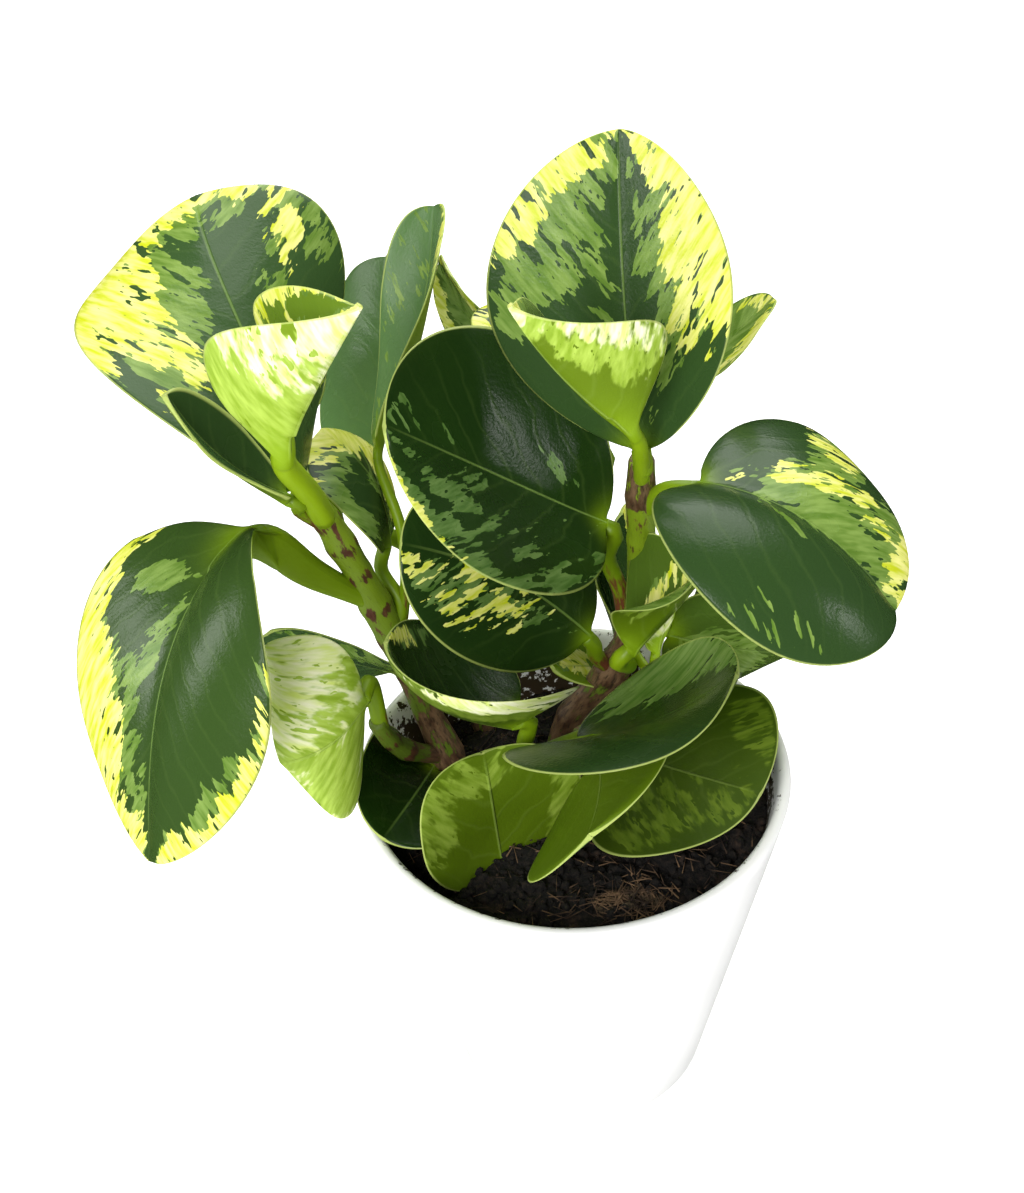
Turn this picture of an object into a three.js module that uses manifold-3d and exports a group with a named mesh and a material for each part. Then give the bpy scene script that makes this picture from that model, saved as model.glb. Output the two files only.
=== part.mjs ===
// A variegated peperomia in a plain round pot. Millimetres, +Z up. The origin is the centre of
// the pot's flat underside, and -Y is the side that the plant shows first.
import * as THREE from 'three';
import { mergeVertices } from 'three/addons/utils/BufferGeometryUtils.js';
import ManifoldModule from 'manifold-3d';

const manifold = await ManifoldModule();
manifold.setup();

// ---- driving dimensions ---------------------------------------------------------------------
const POT_HEIGHT = 120;
const POT_RIM_RADIUS = 64;      // outside, at the top edge
const POT_BASE_RADIUS = 40;     // outside, at the floor
const POT_WALL = 4;             // measured across
const POT_FLOOR = 5;
const RIM_ROUND = 1.6;

const SOIL_BELOW_RIM = 14;      // at the front; the peat sinks further toward the back
const SOIL_SINKS = 8;
const SOIL_BOTTOM = 8;
const GAP = 0.3;                // clear air between two neighbouring pieces

const BLADE_CORE = 0.8;         // half the blade's thickness along the midrib
const BLADE_EDGE = 0.4;         // half the blade's thickness at the margin
const STALK_RADIUS = 2.4;       // leaf stalk, unless its row says otherwise
const BESIDE = 12;              // stalks that start closer than this are trimmed to each other

// ---- materials ------------------------------------------------------------------------------
const glaze = new THREE.MeshStandardMaterial({ color: '#f4f4f2', roughness: 0.35, metalness: 0 });
const peat = new THREE.MeshStandardMaterial({ color: '#2b211b', roughness: 0.95, metalness: 0 });
const bark = new THREE.MeshStandardMaterial({ color: '#8a8a3c', roughness: 0.6, metalness: 0 });
const leafGreen = new THREE.MeshStandardMaterial({ color: '#5f8a3a', roughness: 0.35, metalness: 0 });

const plant = new THREE.Group();
plant.name = 'potted_peperomia';

// ---- solids ---------------------------------------------------------------------------------
function solidFrom(geometry) {
  const bare = geometry.clone();
  bare.deleteAttribute('normal');
  bare.deleteAttribute('uv');
  const merged = mergeVertices(bare, 1e-4);
  return new manifold.Manifold(new manifold.Mesh({
    numProp: 3,
    vertProperties: Float32Array.from(merged.attributes.position.array),
    triVerts: Uint32Array.from(merged.index.array),
  }));
}

function addPiece(name, solid, material) {
  const { vertProperties, triVerts } = solid.getMesh();
  const geometry = new THREE.BufferGeometry();
  geometry.setAttribute('position', new THREE.BufferAttribute(vertProperties, 3));
  geometry.setIndex(new THREE.BufferAttribute(triVerts, 1));
  const flat = geometry.toNonIndexed();
  flat.computeVertexNormals();
  const mesh = new THREE.Mesh(flat, material);
  mesh.name = name;
  plant.add(mesh);
}

// Joins rings of equal count, one after the other, into a closed skin. The rings run clockwise
// when seen along the way they follow. In the second half of a ring the squares are split the
// other way, so that the two faces of a blade are split alike and stay the same distance apart.
function skin(rings) {
  const count = rings[0].length;
  const points = rings.flat();
  const faces = [];
  for (let row = 0; row < rings.length - 1; row++) {
    for (let k = 0; k < count; k++) {
      const a = row * count + k;
      const b = row * count + (k + 1) % count;
      const c = b + count;
      const d = a + count;
      if (k < count / 2) faces.push(a, b, c, a, c, d);
      else faces.push(a, b, d, b, c, d);
    }
  }
  const middleOf = (ring) => ring.reduce((sum, p) => sum.add(p), new THREE.Vector3())
    .divideScalar(count);
  const start = points.length;
  const last = (rings.length - 1) * count;
  points.push(middleOf(rings[0]), middleOf(rings[rings.length - 1]));
  for (let k = 0; k < count; k++) {
    const next = (k + 1) % count;
    faces.push(start, next, k, start + 1, last + k, last + next);
  }
  const geometry = new THREE.BufferGeometry().setFromPoints(points);
  geometry.setIndex(faces);
  return solidFrom(geometry);
}

// ---- pot ------------------------------------------------------------------------------------
const potOutside = (z) => POT_BASE_RADIUS + (POT_RIM_RADIUS - POT_BASE_RADIUS) * z / POT_HEIGHT;
const potInside = (z) => potOutside(z) - POT_WALL;

const potProfile = [
  [0, 0],
  [potOutside(0), 0],
  [potOutside(POT_HEIGHT - RIM_ROUND), POT_HEIGHT - RIM_ROUND],
  [potOutside(POT_HEIGHT) - 0.35 * RIM_ROUND, POT_HEIGHT - 0.3 * RIM_ROUND],
  [potOutside(POT_HEIGHT) - RIM_ROUND, POT_HEIGHT],
  [potInside(POT_HEIGHT) + 0.6 * RIM_ROUND, POT_HEIGHT],
  [potInside(POT_HEIGHT) + 0.1 * RIM_ROUND, POT_HEIGHT - 0.4 * RIM_ROUND],
  [potInside(POT_HEIGHT - 2 * RIM_ROUND), POT_HEIGHT - 2 * RIM_ROUND],
  [potInside(POT_FLOOR), POT_FLOOR],
  [0, POT_FLOOR],
].map(([r, z]) => new THREE.Vector2(r, z));
const pot = new THREE.LatheGeometry(potProfile, 48).rotateX(Math.PI / 2);
addPiece('pot', solidFrom(pot), glaze);

// ---- stems ----------------------------------------------------------------------------------
// Each stem is a list of [x, y, z, radius], the joints of the stem being thicker than the
// lengths between them.
const stemPoints = {
  stem_left: [
    [-32, 13, 70, 3.6], [-34, 14, 92, 4.2], [-37.5, 15, 114, 5.2], [-42, 16, 130, 4.2],
    [-46.5, 16, 147.5, 4], [-50, 16, 161, 4.6], [-53.5, 15, 174, 4.8], [-57, 14, 186.5, 4],
    [-60.5, 13, 197, 4.4], [-63.5, 12, 206.5, 3.8], [-66.5, 11, 214, 3.4],
  ],
  stem_right: [
    [-9, 28, 72, 4], [-4, 27.5, 96, 4.6], [1.5, 27, 115, 5], [7, 26, 124, 4.8],
    [13.5, 24, 136, 5.4], [18.5, 22, 150, 4.2], [21, 20, 168, 3.8], [21.5, 17, 190, 4],
    [21, 13, 208, 4.2], [21, 10, 222, 3.6],
  ],
  stem_front: [
    [-5, 6, 76, 3.2], [-3, 4, 94, 3.6], [-1, 1, 112, 4], [1, -2, 126, 3.6], [3, -6, 139, 3.2],
  ],
  stem_rear: [
    [25, 32, 76, 3.2], [27, 34, 96, 3.6], [30, 38, 112, 3.6], [35, 43, 125, 3.4], [42, 50, 136, 3.2],
  ],
  stem_back: [
    [-24, 38, 76, 3.4], [-26, 40, 96, 4], [-28, 44, 130, 3.6], [-31, 49, 158, 4.2],
    [-34, 53, 178, 3.6], [-36, 57, 194, 3.2],
  ],
};
const sideShootPoints = [
  [-38, 15, 113, 3], [-43, 10, 119, 2.8], [-48.5, 2, 129, 3.2], [-52, -3, 138, 2.8],
  [-55, -8, 150, 2.6],
];

function stem(points, extra = 0) {
  const sides = 8;
  const steps = 2 * (points.length - 1);
  const line = new THREE.CatmullRomCurve3(points.map(([x, y, z]) => new THREE.Vector3(x, y, z)));
  const rings = [];
  for (let i = 0; i <= steps; i++) {
    const t = i / steps;
    const at = line.getPoint(t);
    const way = line.getTangent(t);
    const right = new THREE.Vector3(1, 0, 0).addScaledVector(way, -way.x).normalize();
    const up = new THREE.Vector3().crossVectors(right, way);
    const between = Math.min(t * (points.length - 1), points.length - 1.001);
    const whole = Math.floor(between);
    const ease = (1 - Math.cos(Math.PI * (between - whole))) / 2;
    const radius = extra + points[whole][3] * (1 - ease) + points[whole + 1][3] * ease;
    if (i === 0) at.addScaledVector(way, -extra);
    if (i === steps) at.addScaledVector(way, extra);
    rings.push(Array.from({ length: sides }, (_, k) => {
      const angle = Math.PI - 2 * Math.PI * k / sides;
      return at.clone().addScaledVector(right, radius * Math.cos(angle))
        .addScaledVector(up, radius * Math.sin(angle));
    }));
  }
  return skin(rings);
}

const leftShoot = (extra = 0) => stem(stemPoints.stem_left, extra)
  .add(stem(sideShootPoints, extra));
const stems = Object.entries(stemPoints).map(([name, points]) => (name === 'stem_left'
  ? { name, solid: leftShoot(), hole: leftShoot(GAP) }
  : { name, solid: stem(points), hole: stem(points, GAP) }));
stems.forEach(({ name, solid }) => addPiece(name, solid, bark));

// ---- leaves ---------------------------------------------------------------------------------
// A leaf starts on its stem at `from`, and its stalk bends into the blade at `base`.
// `aim` is where the blade heads at its base: the compass angle from +X, the rise above level
// and the roll that lowers its right side. `size` is the midrib's length and the full width.
// Angles are degrees. `droop` bends the midrib down over its length, `early` shifts that bend
// toward the base, `sweep` bends it to the right, and `twist` turns the blade about it.
// Each half is tipped up from the midrib by `fold` and curls upward by `cup`, [left, right];
// `foldTip` and `cupTip` are the same at the apex. `lobe` is how far the halves reach back
// behind the base, `widest` is where along the midrib the outline is widest, and `taper` is how
// slowly it widens from the base. A `keel` deepens the underside of the stalk toward the blade.
const leafRows = {
  leaf_left_tall: {
    from: [-66, 11, 212], base: [-70, 14.5, 216], aim: [111, 74, 42], size: [92.5, 82],
    widest: 0.66, droop: 60, early: 0.4, sweep: 30, twist: -55,
    fold: [5, -15], foldTip: [-15, -5], cup: [15, -40], cupTip: [-35, -20], lobe: [0.1, 0.1],
  },
  leaf_left_folded: {
    from: [-64, 11, 208], via: [[-67, 0, 228]], base: [-69.5, -7.5, 242],
    aim: [-51, 59, 0], size: [59.5, 55.5],
    widest: 0.48, sweep: -15, twist: 25, stalk: 3.4, taper: 1.1,
    fold: [45, 45], foldTip: [55, 40], cup: [45, 50], cupTip: [50, 45],
  },
  leaf_left_dark: {
    from: [-62, 12.5, 202], via: [[-70, 7, 214]], base: [-71.5, 1.5, 221.5],
    aim: [-166, 38, 2], size: [46, 23.5],
    widest: 0.52, droop: -35, early: -0.1, sweep: 5, twist: -15, stalk: 1.8,
    fold: [30, 30], foldTip: [20, 30], cup: [5, 10], cupTip: [-10, 10],
  },
  leaf_left_drooping: {
    from: [-53.5, 15, 174], via: [[-64.5, 10, 188.5], [-71.5, 6, 198]],
    base: [-81.5, 2.5, 210.5], aim: [-141, -9, 30], size: [94, 90],
    widest: 0.46, droop: 60, early: 0.9, sweep: 5, twist: -5, stalk: 2.8, keel: 12,
    fold: [30, 30], foldTip: [5, 10], cup: [-60, 0], cupTip: [-90, -25], lobe: [0, 0],
  },
  leaf_left_curled: {
    from: [-50, 16, 161], via: [[-46.5, 18, 170.5]], base: [-50, 26, 185.5],
    aim: [47, 70, 122], size: [40, 37.5],
    widest: 0.56, droop: 75, early: 0.1, twist: -10, stalk: 2,
    fold: [0, -5], foldTip: [-20, -15], cup: [10, 15], cupTip: [-10, 10],
  },
  leaf_left_low: {
    from: [-54, -6.5, 147], base: [-57.5, -15, 164.5], aim: [-104, 2, 94], size: [32, 64.5],
    widest: 0.58, droop: -105, early: -0.8, sweep: 5, twist: 20,
    fold: [0, 10], foldTip: [10, 20], cup: [35, 10], cupTip: [65, 0], lobe: [0.5, 0.5],
  },
  leaf_left_inner: {
    from: [-42, 16, 130], base: [-51, 35, 131.5], aim: [-158, 29, -142], size: [45, 43.5],
    widest: 0.56, droop: 15, twist: 10,
    fold: [10, 5], foldTip: [10, 0], cup: [10, 10], cupTip: [10, 0],
  },
  leaf_left_rim: {
    from: [-36, 15, 108], base: [-42.5, 11, 110.5], aim: [-100, 28, -27], size: [40.5, 47],
    droop: 30, sweep: 5, fold: [15, 15], cup: [20, 35], cupTip: [20, 45],
  },
  leaf_back_broad: {
    from: [-31, 49, 158], base: [-54, 64, 188], aim: [74, 30, -39], size: [64.5, 59],
    widest: 0.56, droop: -25, early: -0.1, sweep: 5, twist: 5,
    fold: [25, 35], foldTip: [15, 35], cup: [-15, -5], cupTip: [-40, -20],
  },
  leaf_back_narrow: {
    from: [-48.5, 16, 155], via: [[-43.5, 20.5, 185], [-45.5, 29, 200]], base: [-50, 39.5, 209.5],
    aim: [47, 43, -51], size: [70, 40.5],
    widest: 0.58, droop: -25, sweep: -5, twist: 20, stalk: 1.7,
    fold: [20, 20], foldTip: [30, 10], cup: [-5, 10], cupTip: [0, 0],
  },
  leaf_back_small: {
    from: [-35.5, 56, 191], base: [-16.5, 90, 212], aim: [146, 33, -106], size: [29, 33],
    droop: 30, twist: -5, stalk: 1.8, fold: [5, 5], foldTip: [5, 10], cup: [10, 15], cupTip: [5, 20],
  },
  leaf_centre_large: {
    from: [18, 22, 149], via: [[16, 22, 168], [12.5, 23, 180]], base: [11.5, 22.5, 191],
    aim: [-173, 37, -26], size: [76, 77],
    widest: 0.56, droop: -10, sweep: -10, twist: 5,
    fold: [15, 15], foldTip: [10, 10], cup: [0, 20], cupTip: [-5, 35],
  },
  leaf_centre_banded: {
    from: [13.5, 24, 136], via: [[8.5, 19, 146.5]], base: [5.5, 16, 156.5],
    aim: [-168, 59, -47], size: [70, 51],
    droop: 20, sweep: -25, twist: 5,
    fold: [-5, 5], foldTip: [0, 5], cup: [-10, 0], lobe: [0.2, 0.3],
  },
  leaf_centre_trough: {
    from: [-1, 1, 112], via: [[-7, -2, 119], [-14, -6, 134.5]], base: [-17, -8, 147],
    aim: [-163, 16, 24], size: [49, 72],
    widest: 0.46, droop: -70, early: -0.3, sweep: 5, twist: -15,
    fold: [35, 20], foldTip: [-10, 15], cup: [40, 20], cupTip: [45, 15], lobe: [0.9, 0.8],
  },
  leaf_inner_dark: {
    from: [2.5, 27, 117], base: [18, 49, 121], aim: [-139, 80, -40], size: [37, 33.5],
    droop: 10, stalk: 1.8, fold: [5, 5], cup: [5, 5], cupTip: [5, 0],
  },
  leaf_inner_round: {
    from: [16.5, 23, 144], base: [24, 45.5, 144], aim: [131, 77, 37], size: [29.5, 36],
    widest: 0.56, droop: 5, sweep: 5, twist: -5, stalk: 1.8,
    fold: [0, 0], foldTip: [-5, -5], cup: [5, 0], cupTip: [0, -5],
  },
  leaf_inner_small: {
    from: [-1, 27, 107], base: [11.5, 40, 121], aim: [-136, 44, -15], size: [24.5, 25.5],
    widest: 0.56, droop: 20, stalk: 1.6, fold: [5, 10], cup: [15, 10],
  },
  leaf_right_tall: {
    from: [21, 11, 219], base: [20.5, 5.5, 228], aim: [101, 63, -68], size: [80.5, 77],
    widest: 0.46, droop: 5, sweep: 5, twist: 15, stalk: 2.6,
    fold: [10, 5], foldTip: [20, 10], cup: [25, -5], cupTip: [35, -15], lobe: [0, 0],
  },
  leaf_right_folded: {
    from: [21, 12, 213], via: [[20, -2, 230]], base: [17, -10, 244.5],
    aim: [-160, 44, 51], size: [52, 53],
    widest: 0.48, droop: -20, early: -0.1, sweep: -10, twist: -35, stalk: 2.8, taper: 1.1,
    fold: [30, 30], foldTip: [10, 30], cup: [40, 30], cupTip: [40, 30], lobe: [0.2, 0.3],
  },
  leaf_right_wide: {
    from: [21.5, 15, 200], base: [35.5, 2.5, 216.5], aim: [-27, 17, -9], size: [63, 92.5],
    widest: 0.52, droop: 70, early: 0.4, sweep: -10,
    fold: [20, 30], foldTip: [15, 20], cup: [-25, -60], cupTip: [-50, -95], lobe: [0.4, 0.5],
  },
  leaf_right_behind: {
    from: [21.5, 17, 190], base: [41, 50.5, 221], aim: [20, 39, -16], size: [29, 34],
    twist: -10, stalk: 1.8, fold: [5, 5], foldTip: [5, 10], cup: [10, 0], cupTip: [10, -5],
  },
  leaf_right_funnel: {
    from: [16, 23, 143], via: [[16, 13, 148], [16.5, 1, 158]], base: [16.5, -4.5, 168],
    aim: [7, 40, -51], size: [31.5, 45],
    widest: 0.64, droop: -15, early: 0.1, sweep: 10, twist: 40, taper: 0.8,
    fold: [55, 60], foldTip: [55, 35], cup: [-10, -30], cupTip: [0, -45], lobe: [0.2, 0.2],
  },
  leaf_right_low: {
    from: [14.5, 23.5, 138], base: [31, 25, 149], aim: [-20, -14, 92], size: [38, 54],
    droop: 30, twist: 15,
    fold: [0, -5], foldTip: [0, -15], cup: [10, 10], cupTip: [10, 5],
  },
  leaf_right_tiny: {
    from: [18, 22, 148], base: [25, 8.5, 155.5], aim: [33, 77, -85], size: [20.5, 12.5],
    widest: 0.56, droop: 15, stalk: 1.4, fold: [10, 10], foldTip: [15, 15], cup: [15, 15], cupTip: [20, 20],
  },
  leaf_front_wide: {
    from: [2.5, -5.5, 137], base: [4.5, -31, 159.5], aim: [-14, 24, -43], size: [45, 77.5],
    widest: 0.48, droop: -25, early: -0.1, twist: 20,
    fold: [10, 10], foldTip: [10, -5], cup: [25, -5], cupTip: [30, -25], lobe: [1, 1.1],
  },
  leaf_front_underside: {
    from: [1, -2, 125], base: [8, -14, 137.5], aim: [-92, 12, 57], size: [44.5, 60],
    widest: 0.56, droop: -15, early: 0.1, twist: -10,
    fold: [0, 5], foldTip: [-5, 0], cup: [0, 0],
  },
  leaf_front_standing: {
    from: [-21, -14, 84], base: [-23, -21, 101.5], aim: [116, 85, -167], size: [42.5, 54],
    widest: 0.58, droop: -5, twist: -15,
    fold: [-5, -5], foldTip: [-10, 0], cup: [-15, -20], cupTip: [-25, -25],
  },
  leaf_front_hanging: {
    from: [-2, 2, 104], base: [16, 7, 116.5], aim: [-42, 14, -166], size: [47, 70.5],
    widest: 0.5, droop: -5, sweep: 5,
    fold: [5, 5], foldTip: [-5, -5], cup: [-5, 5], cupTip: [-25, -5],
  },
  leaf_rear_high_right: {
    from: [21.3, 15.5, 198], base: [26, 56, 228], aim: [84, 28, 0], size: [46, 44], droop: 30,
  },
  leaf_rear_high_left: {
    from: [-35.5, 56, 190], base: [7, 50, 211], aim: [118, 40, 5], size: [44, 40], droop: 35,
  },
  leaf_rear_middle: {
    from: [-35, 55, 186], base: [-2, 66, 180], aim: [92, 10, 0], size: [62, 60], droop: 40,
  },
  leaf_rear_left: {
    from: [-60.5, 13, 197], base: [-76, 50, 210], aim: [126, 20, 0], size: [54, 52], droop: 45,
  },
  leaf_rear_low_left: {
    from: [-28.5, 45, 136], base: [-14, 66, 146], aim: [108, 0, -5], size: [54, 52], droop: 35,
  },
  leaf_rear_low_right: {
    from: [38, 46, 130], base: [50, 58, 136], aim: [48, 0, 5], size: [52, 54], droop: 35,
  },
  leaf_rear_right: {
    from: [41, 49, 134.5], base: [62, 46, 165], aim: [30, -5, 0], size: [46, 46], droop: 35,
  },
};

const radians = THREE.MathUtils.degToRad;
const mix = THREE.MathUtils.lerp;

// Half the blade's width at t along the midrib, as a share of its largest.
function outline(t, widest, taper) {
  const before = taper;
  const after = before * (1 - widest) / widest;
  const shape = (s) => s ** before * (1 - s) ** after;
  return shape(t) / shape(widest);
}

function leaf(row, extra = 0) {
  const {
    widest = 0.54, taper = 0.62, droop = 0, early = 0, sweep = 0, twist = 0,
    stalk = STALK_RADIUS, keel = 0,
    fold = [10, 10], foldTip = fold, cup = [10, 10], cupTip = cup, lobe = [0.3, 0.3],
  } = row;
  const [length, width] = row.size;
  const [heading, rise, roll] = row.aim.map(radians);
  const columns = width > 48 ? 6 : 4;
  const rows = width > 48 ? 9 : 7;

  const way = new THREE.Vector3(
    Math.cos(rise) * Math.cos(heading), Math.cos(rise) * Math.sin(heading), Math.sin(rise),
  );
  const right = new THREE.Vector3(Math.sin(heading), -Math.cos(heading), 0);
  const up = new THREE.Vector3().crossVectors(right, way);
  right.applyAxisAngle(way, roll);
  up.applyAxisAngle(way, roll);

  // One ring: the upper face from the left margin to the right one, then the lower face back.
  // It is round where the stalk is, and flat as soon as the blade has some width.
  function ring(at, frame, t, half, flat, deep = 0) {
    const points = [[], []];
    for (let k = 0; k <= columns; k++) {
      const u = 2 * k / columns - 1;
      const side = u < 0 ? 0 : 1;
      const across = half * mix(Math.sin(Math.abs(u) * Math.PI / 2), Math.abs(u), flat);
      const tip = radians(mix(fold[side], foldTip[side], t)) * flat;
      const curl = radians(mix(cup[side], cupTip[side], t) || 1e-3) / (width / 2);
      const bend = u === 0 ? 0 : tip + curl * across * flat;
      const out = (Math.sin(tip + curl * across) - Math.sin(tip)) / curl;
      const lift = (Math.cos(tip) - Math.cos(tip + curl * across)) / curl;
      const back = (0.15 * t ** 3 - lobe[side] * (1 - t) ** 2) * across * flat
        - 2 * extra * (1 - t) * flat;
      const bladeHalf = BLADE_EDGE + (BLADE_CORE - BLADE_EDGE) * (1 - u * u)
        + (stalk - BLADE_CORE) * (1 - t) ** 8 * (1 - Math.abs(u)) ** 2;
      const thick = Math.max(0.3, mix(stalk * Math.cos(u * Math.PI / 2), bladeHalf, flat)) + extra;
      const sign = side === 0 ? -1 : 1;
      const middle = at.clone().addScaledVector(frame.right, sign * out)
        .addScaledVector(frame.up, lift).addScaledVector(frame.way, back);
      const normal = frame.up.clone().multiplyScalar(Math.cos(bend))
        .addScaledVector(frame.right, -sign * Math.sin(bend));
      points[0].push(middle.clone().addScaledVector(normal, thick));
      const below = thick + deep * Math.cos(u * Math.PI / 2);
      points[1].unshift(middle.clone().addScaledVector(normal, -below));
    }
    return points.flat();
  }

  // The stalk: a curve from the stem that leads into the blade's own direction.
  const [from, ...via] = [row.from, ...(row.via || [])].map((p) => new THREE.Vector3(...p));
  const base = new THREE.Vector3(...row.base);
  const reach = base.distanceTo(via.at(-1) || from) * 0.4;
  const curve = new THREE.CatmullRomCurve3(
    [from, ...via, base.clone().addScaledVector(way, -reach), base], false, 'centripetal',
  );
  const stalkRings = [];
  const stalkSteps = via.length ? 5 : 4;
  const frame = { way: way.clone(), right: right.clone(), up: up.clone() };
  for (let i = stalkSteps - 1; i >= 0; i--) {
    const t = i / stalkSteps;
    const turned = curve.getTangentAt(t);
    const turn = new THREE.Quaternion().setFromUnitVectors(frame.way, turned);
    [frame.way, frame.right, frame.up].forEach((axis) => axis.applyQuaternion(turn));
    const at = curve.getPointAt(t);
    if (i === 0) at.addScaledVector(turned, -extra);
    stalkRings.unshift(ring(at, frame, 0, stalk + extra, 0, keel * t ** 1.5));
  }

  // The blade: the midrib bends a little at every step, and carries the two halves along.
  const bladeRings = [];
  const at = base.clone();
  let before = 0;
  for (let i = 0; i <= rows; i++) {
    const t = (1 - Math.cos(Math.PI * i / rows)) / 2;
    const steps = 4;
    for (let s = 0; s < (i ? steps : 0); s++) {
      const part = (t - before) / steps;
      const here = before + (s + 0.5) * part;
      const down = radians(droop) * (1 + early * (1 - 2 * here)) * part;
      const aside = radians(sweep) * part;
      const turn = radians(twist) * part;
      way.addScaledVector(up, -down).addScaledVector(right, aside).normalize();
      up.addScaledVector(right, turn);
      up.addScaledVector(way, -up.dot(way)).normalize();
      right.crossVectors(way, up);
      at.addScaledVector(way, length * part);
    }
    before = t;
    const spread = width / 2 * outline(t, widest, taper);
    const half = Math.max(spread, mix(stalk, BLADE_CORE, t)) + extra;
    const flat = Math.min(1, spread / (2.5 * stalk) + (t > 0.5 ? 1 : 0));
    bladeRings.push(ring(at, { way, right, up }, t, half, flat, keel * (1 - t) ** 20));
  }
  return skin([...stalkRings, ...bladeRings]);
}

// Each leaf is trimmed where it meets its stem, and where its stalk starts beside another one.
const leaves = [];
Object.entries(leafRows).forEach(([name, row]) => {
  let solid = leaf(row);
  stems.forEach(({ hole }) => { solid = solid.subtract(hole); });
  const start = new THREE.Vector3(...row.from);
  leaves.filter((other) => start.distanceTo(new THREE.Vector3(...other.row.from)) < BESIDE)
    .forEach((other) => { solid = solid.subtract(leaf(other.row, GAP)); });
  const largest = solid.decompose().reduce((a, b) => (a.volume() > b.volume() ? a : b));
  leaves.push({ name, row, solid: largest });
});
leaves.forEach(({ name, solid }) => addPiece(name, solid, leafGreen));

// ---- soil -----------------------------------------------------------------------------------
// A turned plug that fills the pot, with an uneven top and a plain hole for everything that
// stands in it.
function soilHeight(x, y) {
  const sunk = SOIL_SINKS * THREE.MathUtils.smoothstep(y, 5, 55);
  const waves = 1.1 * Math.sin(x / 7 + 1) * Math.cos(y / 9) + 0.7 * Math.sin((x + 2 * y) / 5);
  const lump = 3 * Math.exp(-((x - 18) ** 2 + (y + 40) ** 2) / 120);
  return POT_HEIGHT - SOIL_BELOW_RIM - sunk + waves + lump;
}
const soilTop = POT_HEIGHT - SOIL_BELOW_RIM;
const soilRows = 7;
const soilProfile = [
  new THREE.Vector2(0, SOIL_BOTTOM),
  new THREE.Vector2(potInside(SOIL_BOTTOM) - GAP, SOIL_BOTTOM),
];
for (let i = 0; i <= soilRows; i++) {
  soilProfile.push(new THREE.Vector2(potInside(soilTop) * (1 - i / soilRows), soilTop));
}
const soil = new THREE.LatheGeometry(soilProfile, 48).rotateX(Math.PI / 2);
const soilPoints = soil.attributes.position;
for (let i = 0; i < soilPoints.count; i++) {
  if (soilPoints.getZ(i) < soilTop - 1) continue;
  const x = soilPoints.getX(i);
  const y = soilPoints.getY(i);
  const z = soilHeight(x, y);
  const fit = Math.min(1, (potInside(z) - 2 * GAP) / (Math.hypot(x, y) + 1e-9));
  soilPoints.setXYZ(i, x * fit, y * fit, z);
}
let soilSolid = solidFrom(soil);
stems.forEach(({ hole }) => { soilSolid = soilSolid.subtract(hole); });
leaves.forEach(({ row, solid }) => {
  soilSolid = soilSolid.subtract(leaf(row, 3 * GAP)).subtract(solid);
});
addPiece('soil', soilSolid, peat);

export default plant;
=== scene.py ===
# A variegated peperomia in a white pot, dressed on its CAD frame. Metres, +Z up.
import itertools
import math
import random

import bmesh
import bpy
from mathutils import Matrix, Vector, noise


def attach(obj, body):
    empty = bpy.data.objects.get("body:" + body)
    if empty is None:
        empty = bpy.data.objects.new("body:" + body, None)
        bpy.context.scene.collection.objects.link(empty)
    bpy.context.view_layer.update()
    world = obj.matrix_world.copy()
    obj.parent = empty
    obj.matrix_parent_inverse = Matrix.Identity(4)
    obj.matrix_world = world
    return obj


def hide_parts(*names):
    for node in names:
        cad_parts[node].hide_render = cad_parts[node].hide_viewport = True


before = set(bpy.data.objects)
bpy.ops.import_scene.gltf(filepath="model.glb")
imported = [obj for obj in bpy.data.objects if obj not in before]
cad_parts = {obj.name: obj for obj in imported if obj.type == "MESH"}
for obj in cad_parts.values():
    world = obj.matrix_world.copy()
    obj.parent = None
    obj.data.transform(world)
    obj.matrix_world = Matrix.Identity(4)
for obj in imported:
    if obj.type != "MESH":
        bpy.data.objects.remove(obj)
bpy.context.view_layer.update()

# ---- camera ---------------------------------------------------------------------------------
# It stands a little left of the pot's middle and looks down on the plant at 39.5 degrees,
# tilted by 3.3 degrees. Its focal length is 1800 pixels of a frame 1193 pixels high.
FOCAL_PIXELS, FRAME_HEIGHT, SENSOR = 1800, 1193, 36
pitch, tilt = math.radians(39.5), math.radians(-3.3)
ahead = Vector((0, math.cos(pitch), -math.sin(pitch)))
level_right = Vector((1, 0, 0))
level_up = Vector((0, math.sin(pitch), math.cos(pitch)))
right = level_right * math.cos(tilt) + level_up * math.sin(tilt)
upward = level_up * math.cos(tilt) - level_right * math.sin(tilt)
camera_data = bpy.data.cameras.new("camera")
camera_data.sensor_width = SENSOR
camera_data.lens = SENSOR * FOCAL_PIXELS / FRAME_HEIGHT
camera = bpy.data.objects.new("camera", camera_data)
turn = Matrix((right, upward, -ahead)).transposed().to_4x4()
camera.matrix_world = Matrix.Translation((-0.015, -0.376, 0.496)) @ turn
bpy.context.collection.objects.link(camera)
bpy.context.scene.camera = camera


# ---- pot ------------------------------------------------------------------------------------
# A tapered white pot, spun from its wall profile, with a softly rounded rim and foot. The
# inside above the peat carries splashes of wet peat.
def clear_material(name, roughness, **settings):
    """A new material, its node tree and its shader, with settings for the shader's sockets."""
    material = bpy.data.materials.new(name)
    material.use_nodes = True
    shader = material.node_tree.nodes["Principled BSDF"]
    shader.inputs["Roughness"].default_value = roughness
    for socket, value in settings.items():
        shader.inputs[socket.replace("_", " ")].default_value = value
    return material, material.node_tree, shader


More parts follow.
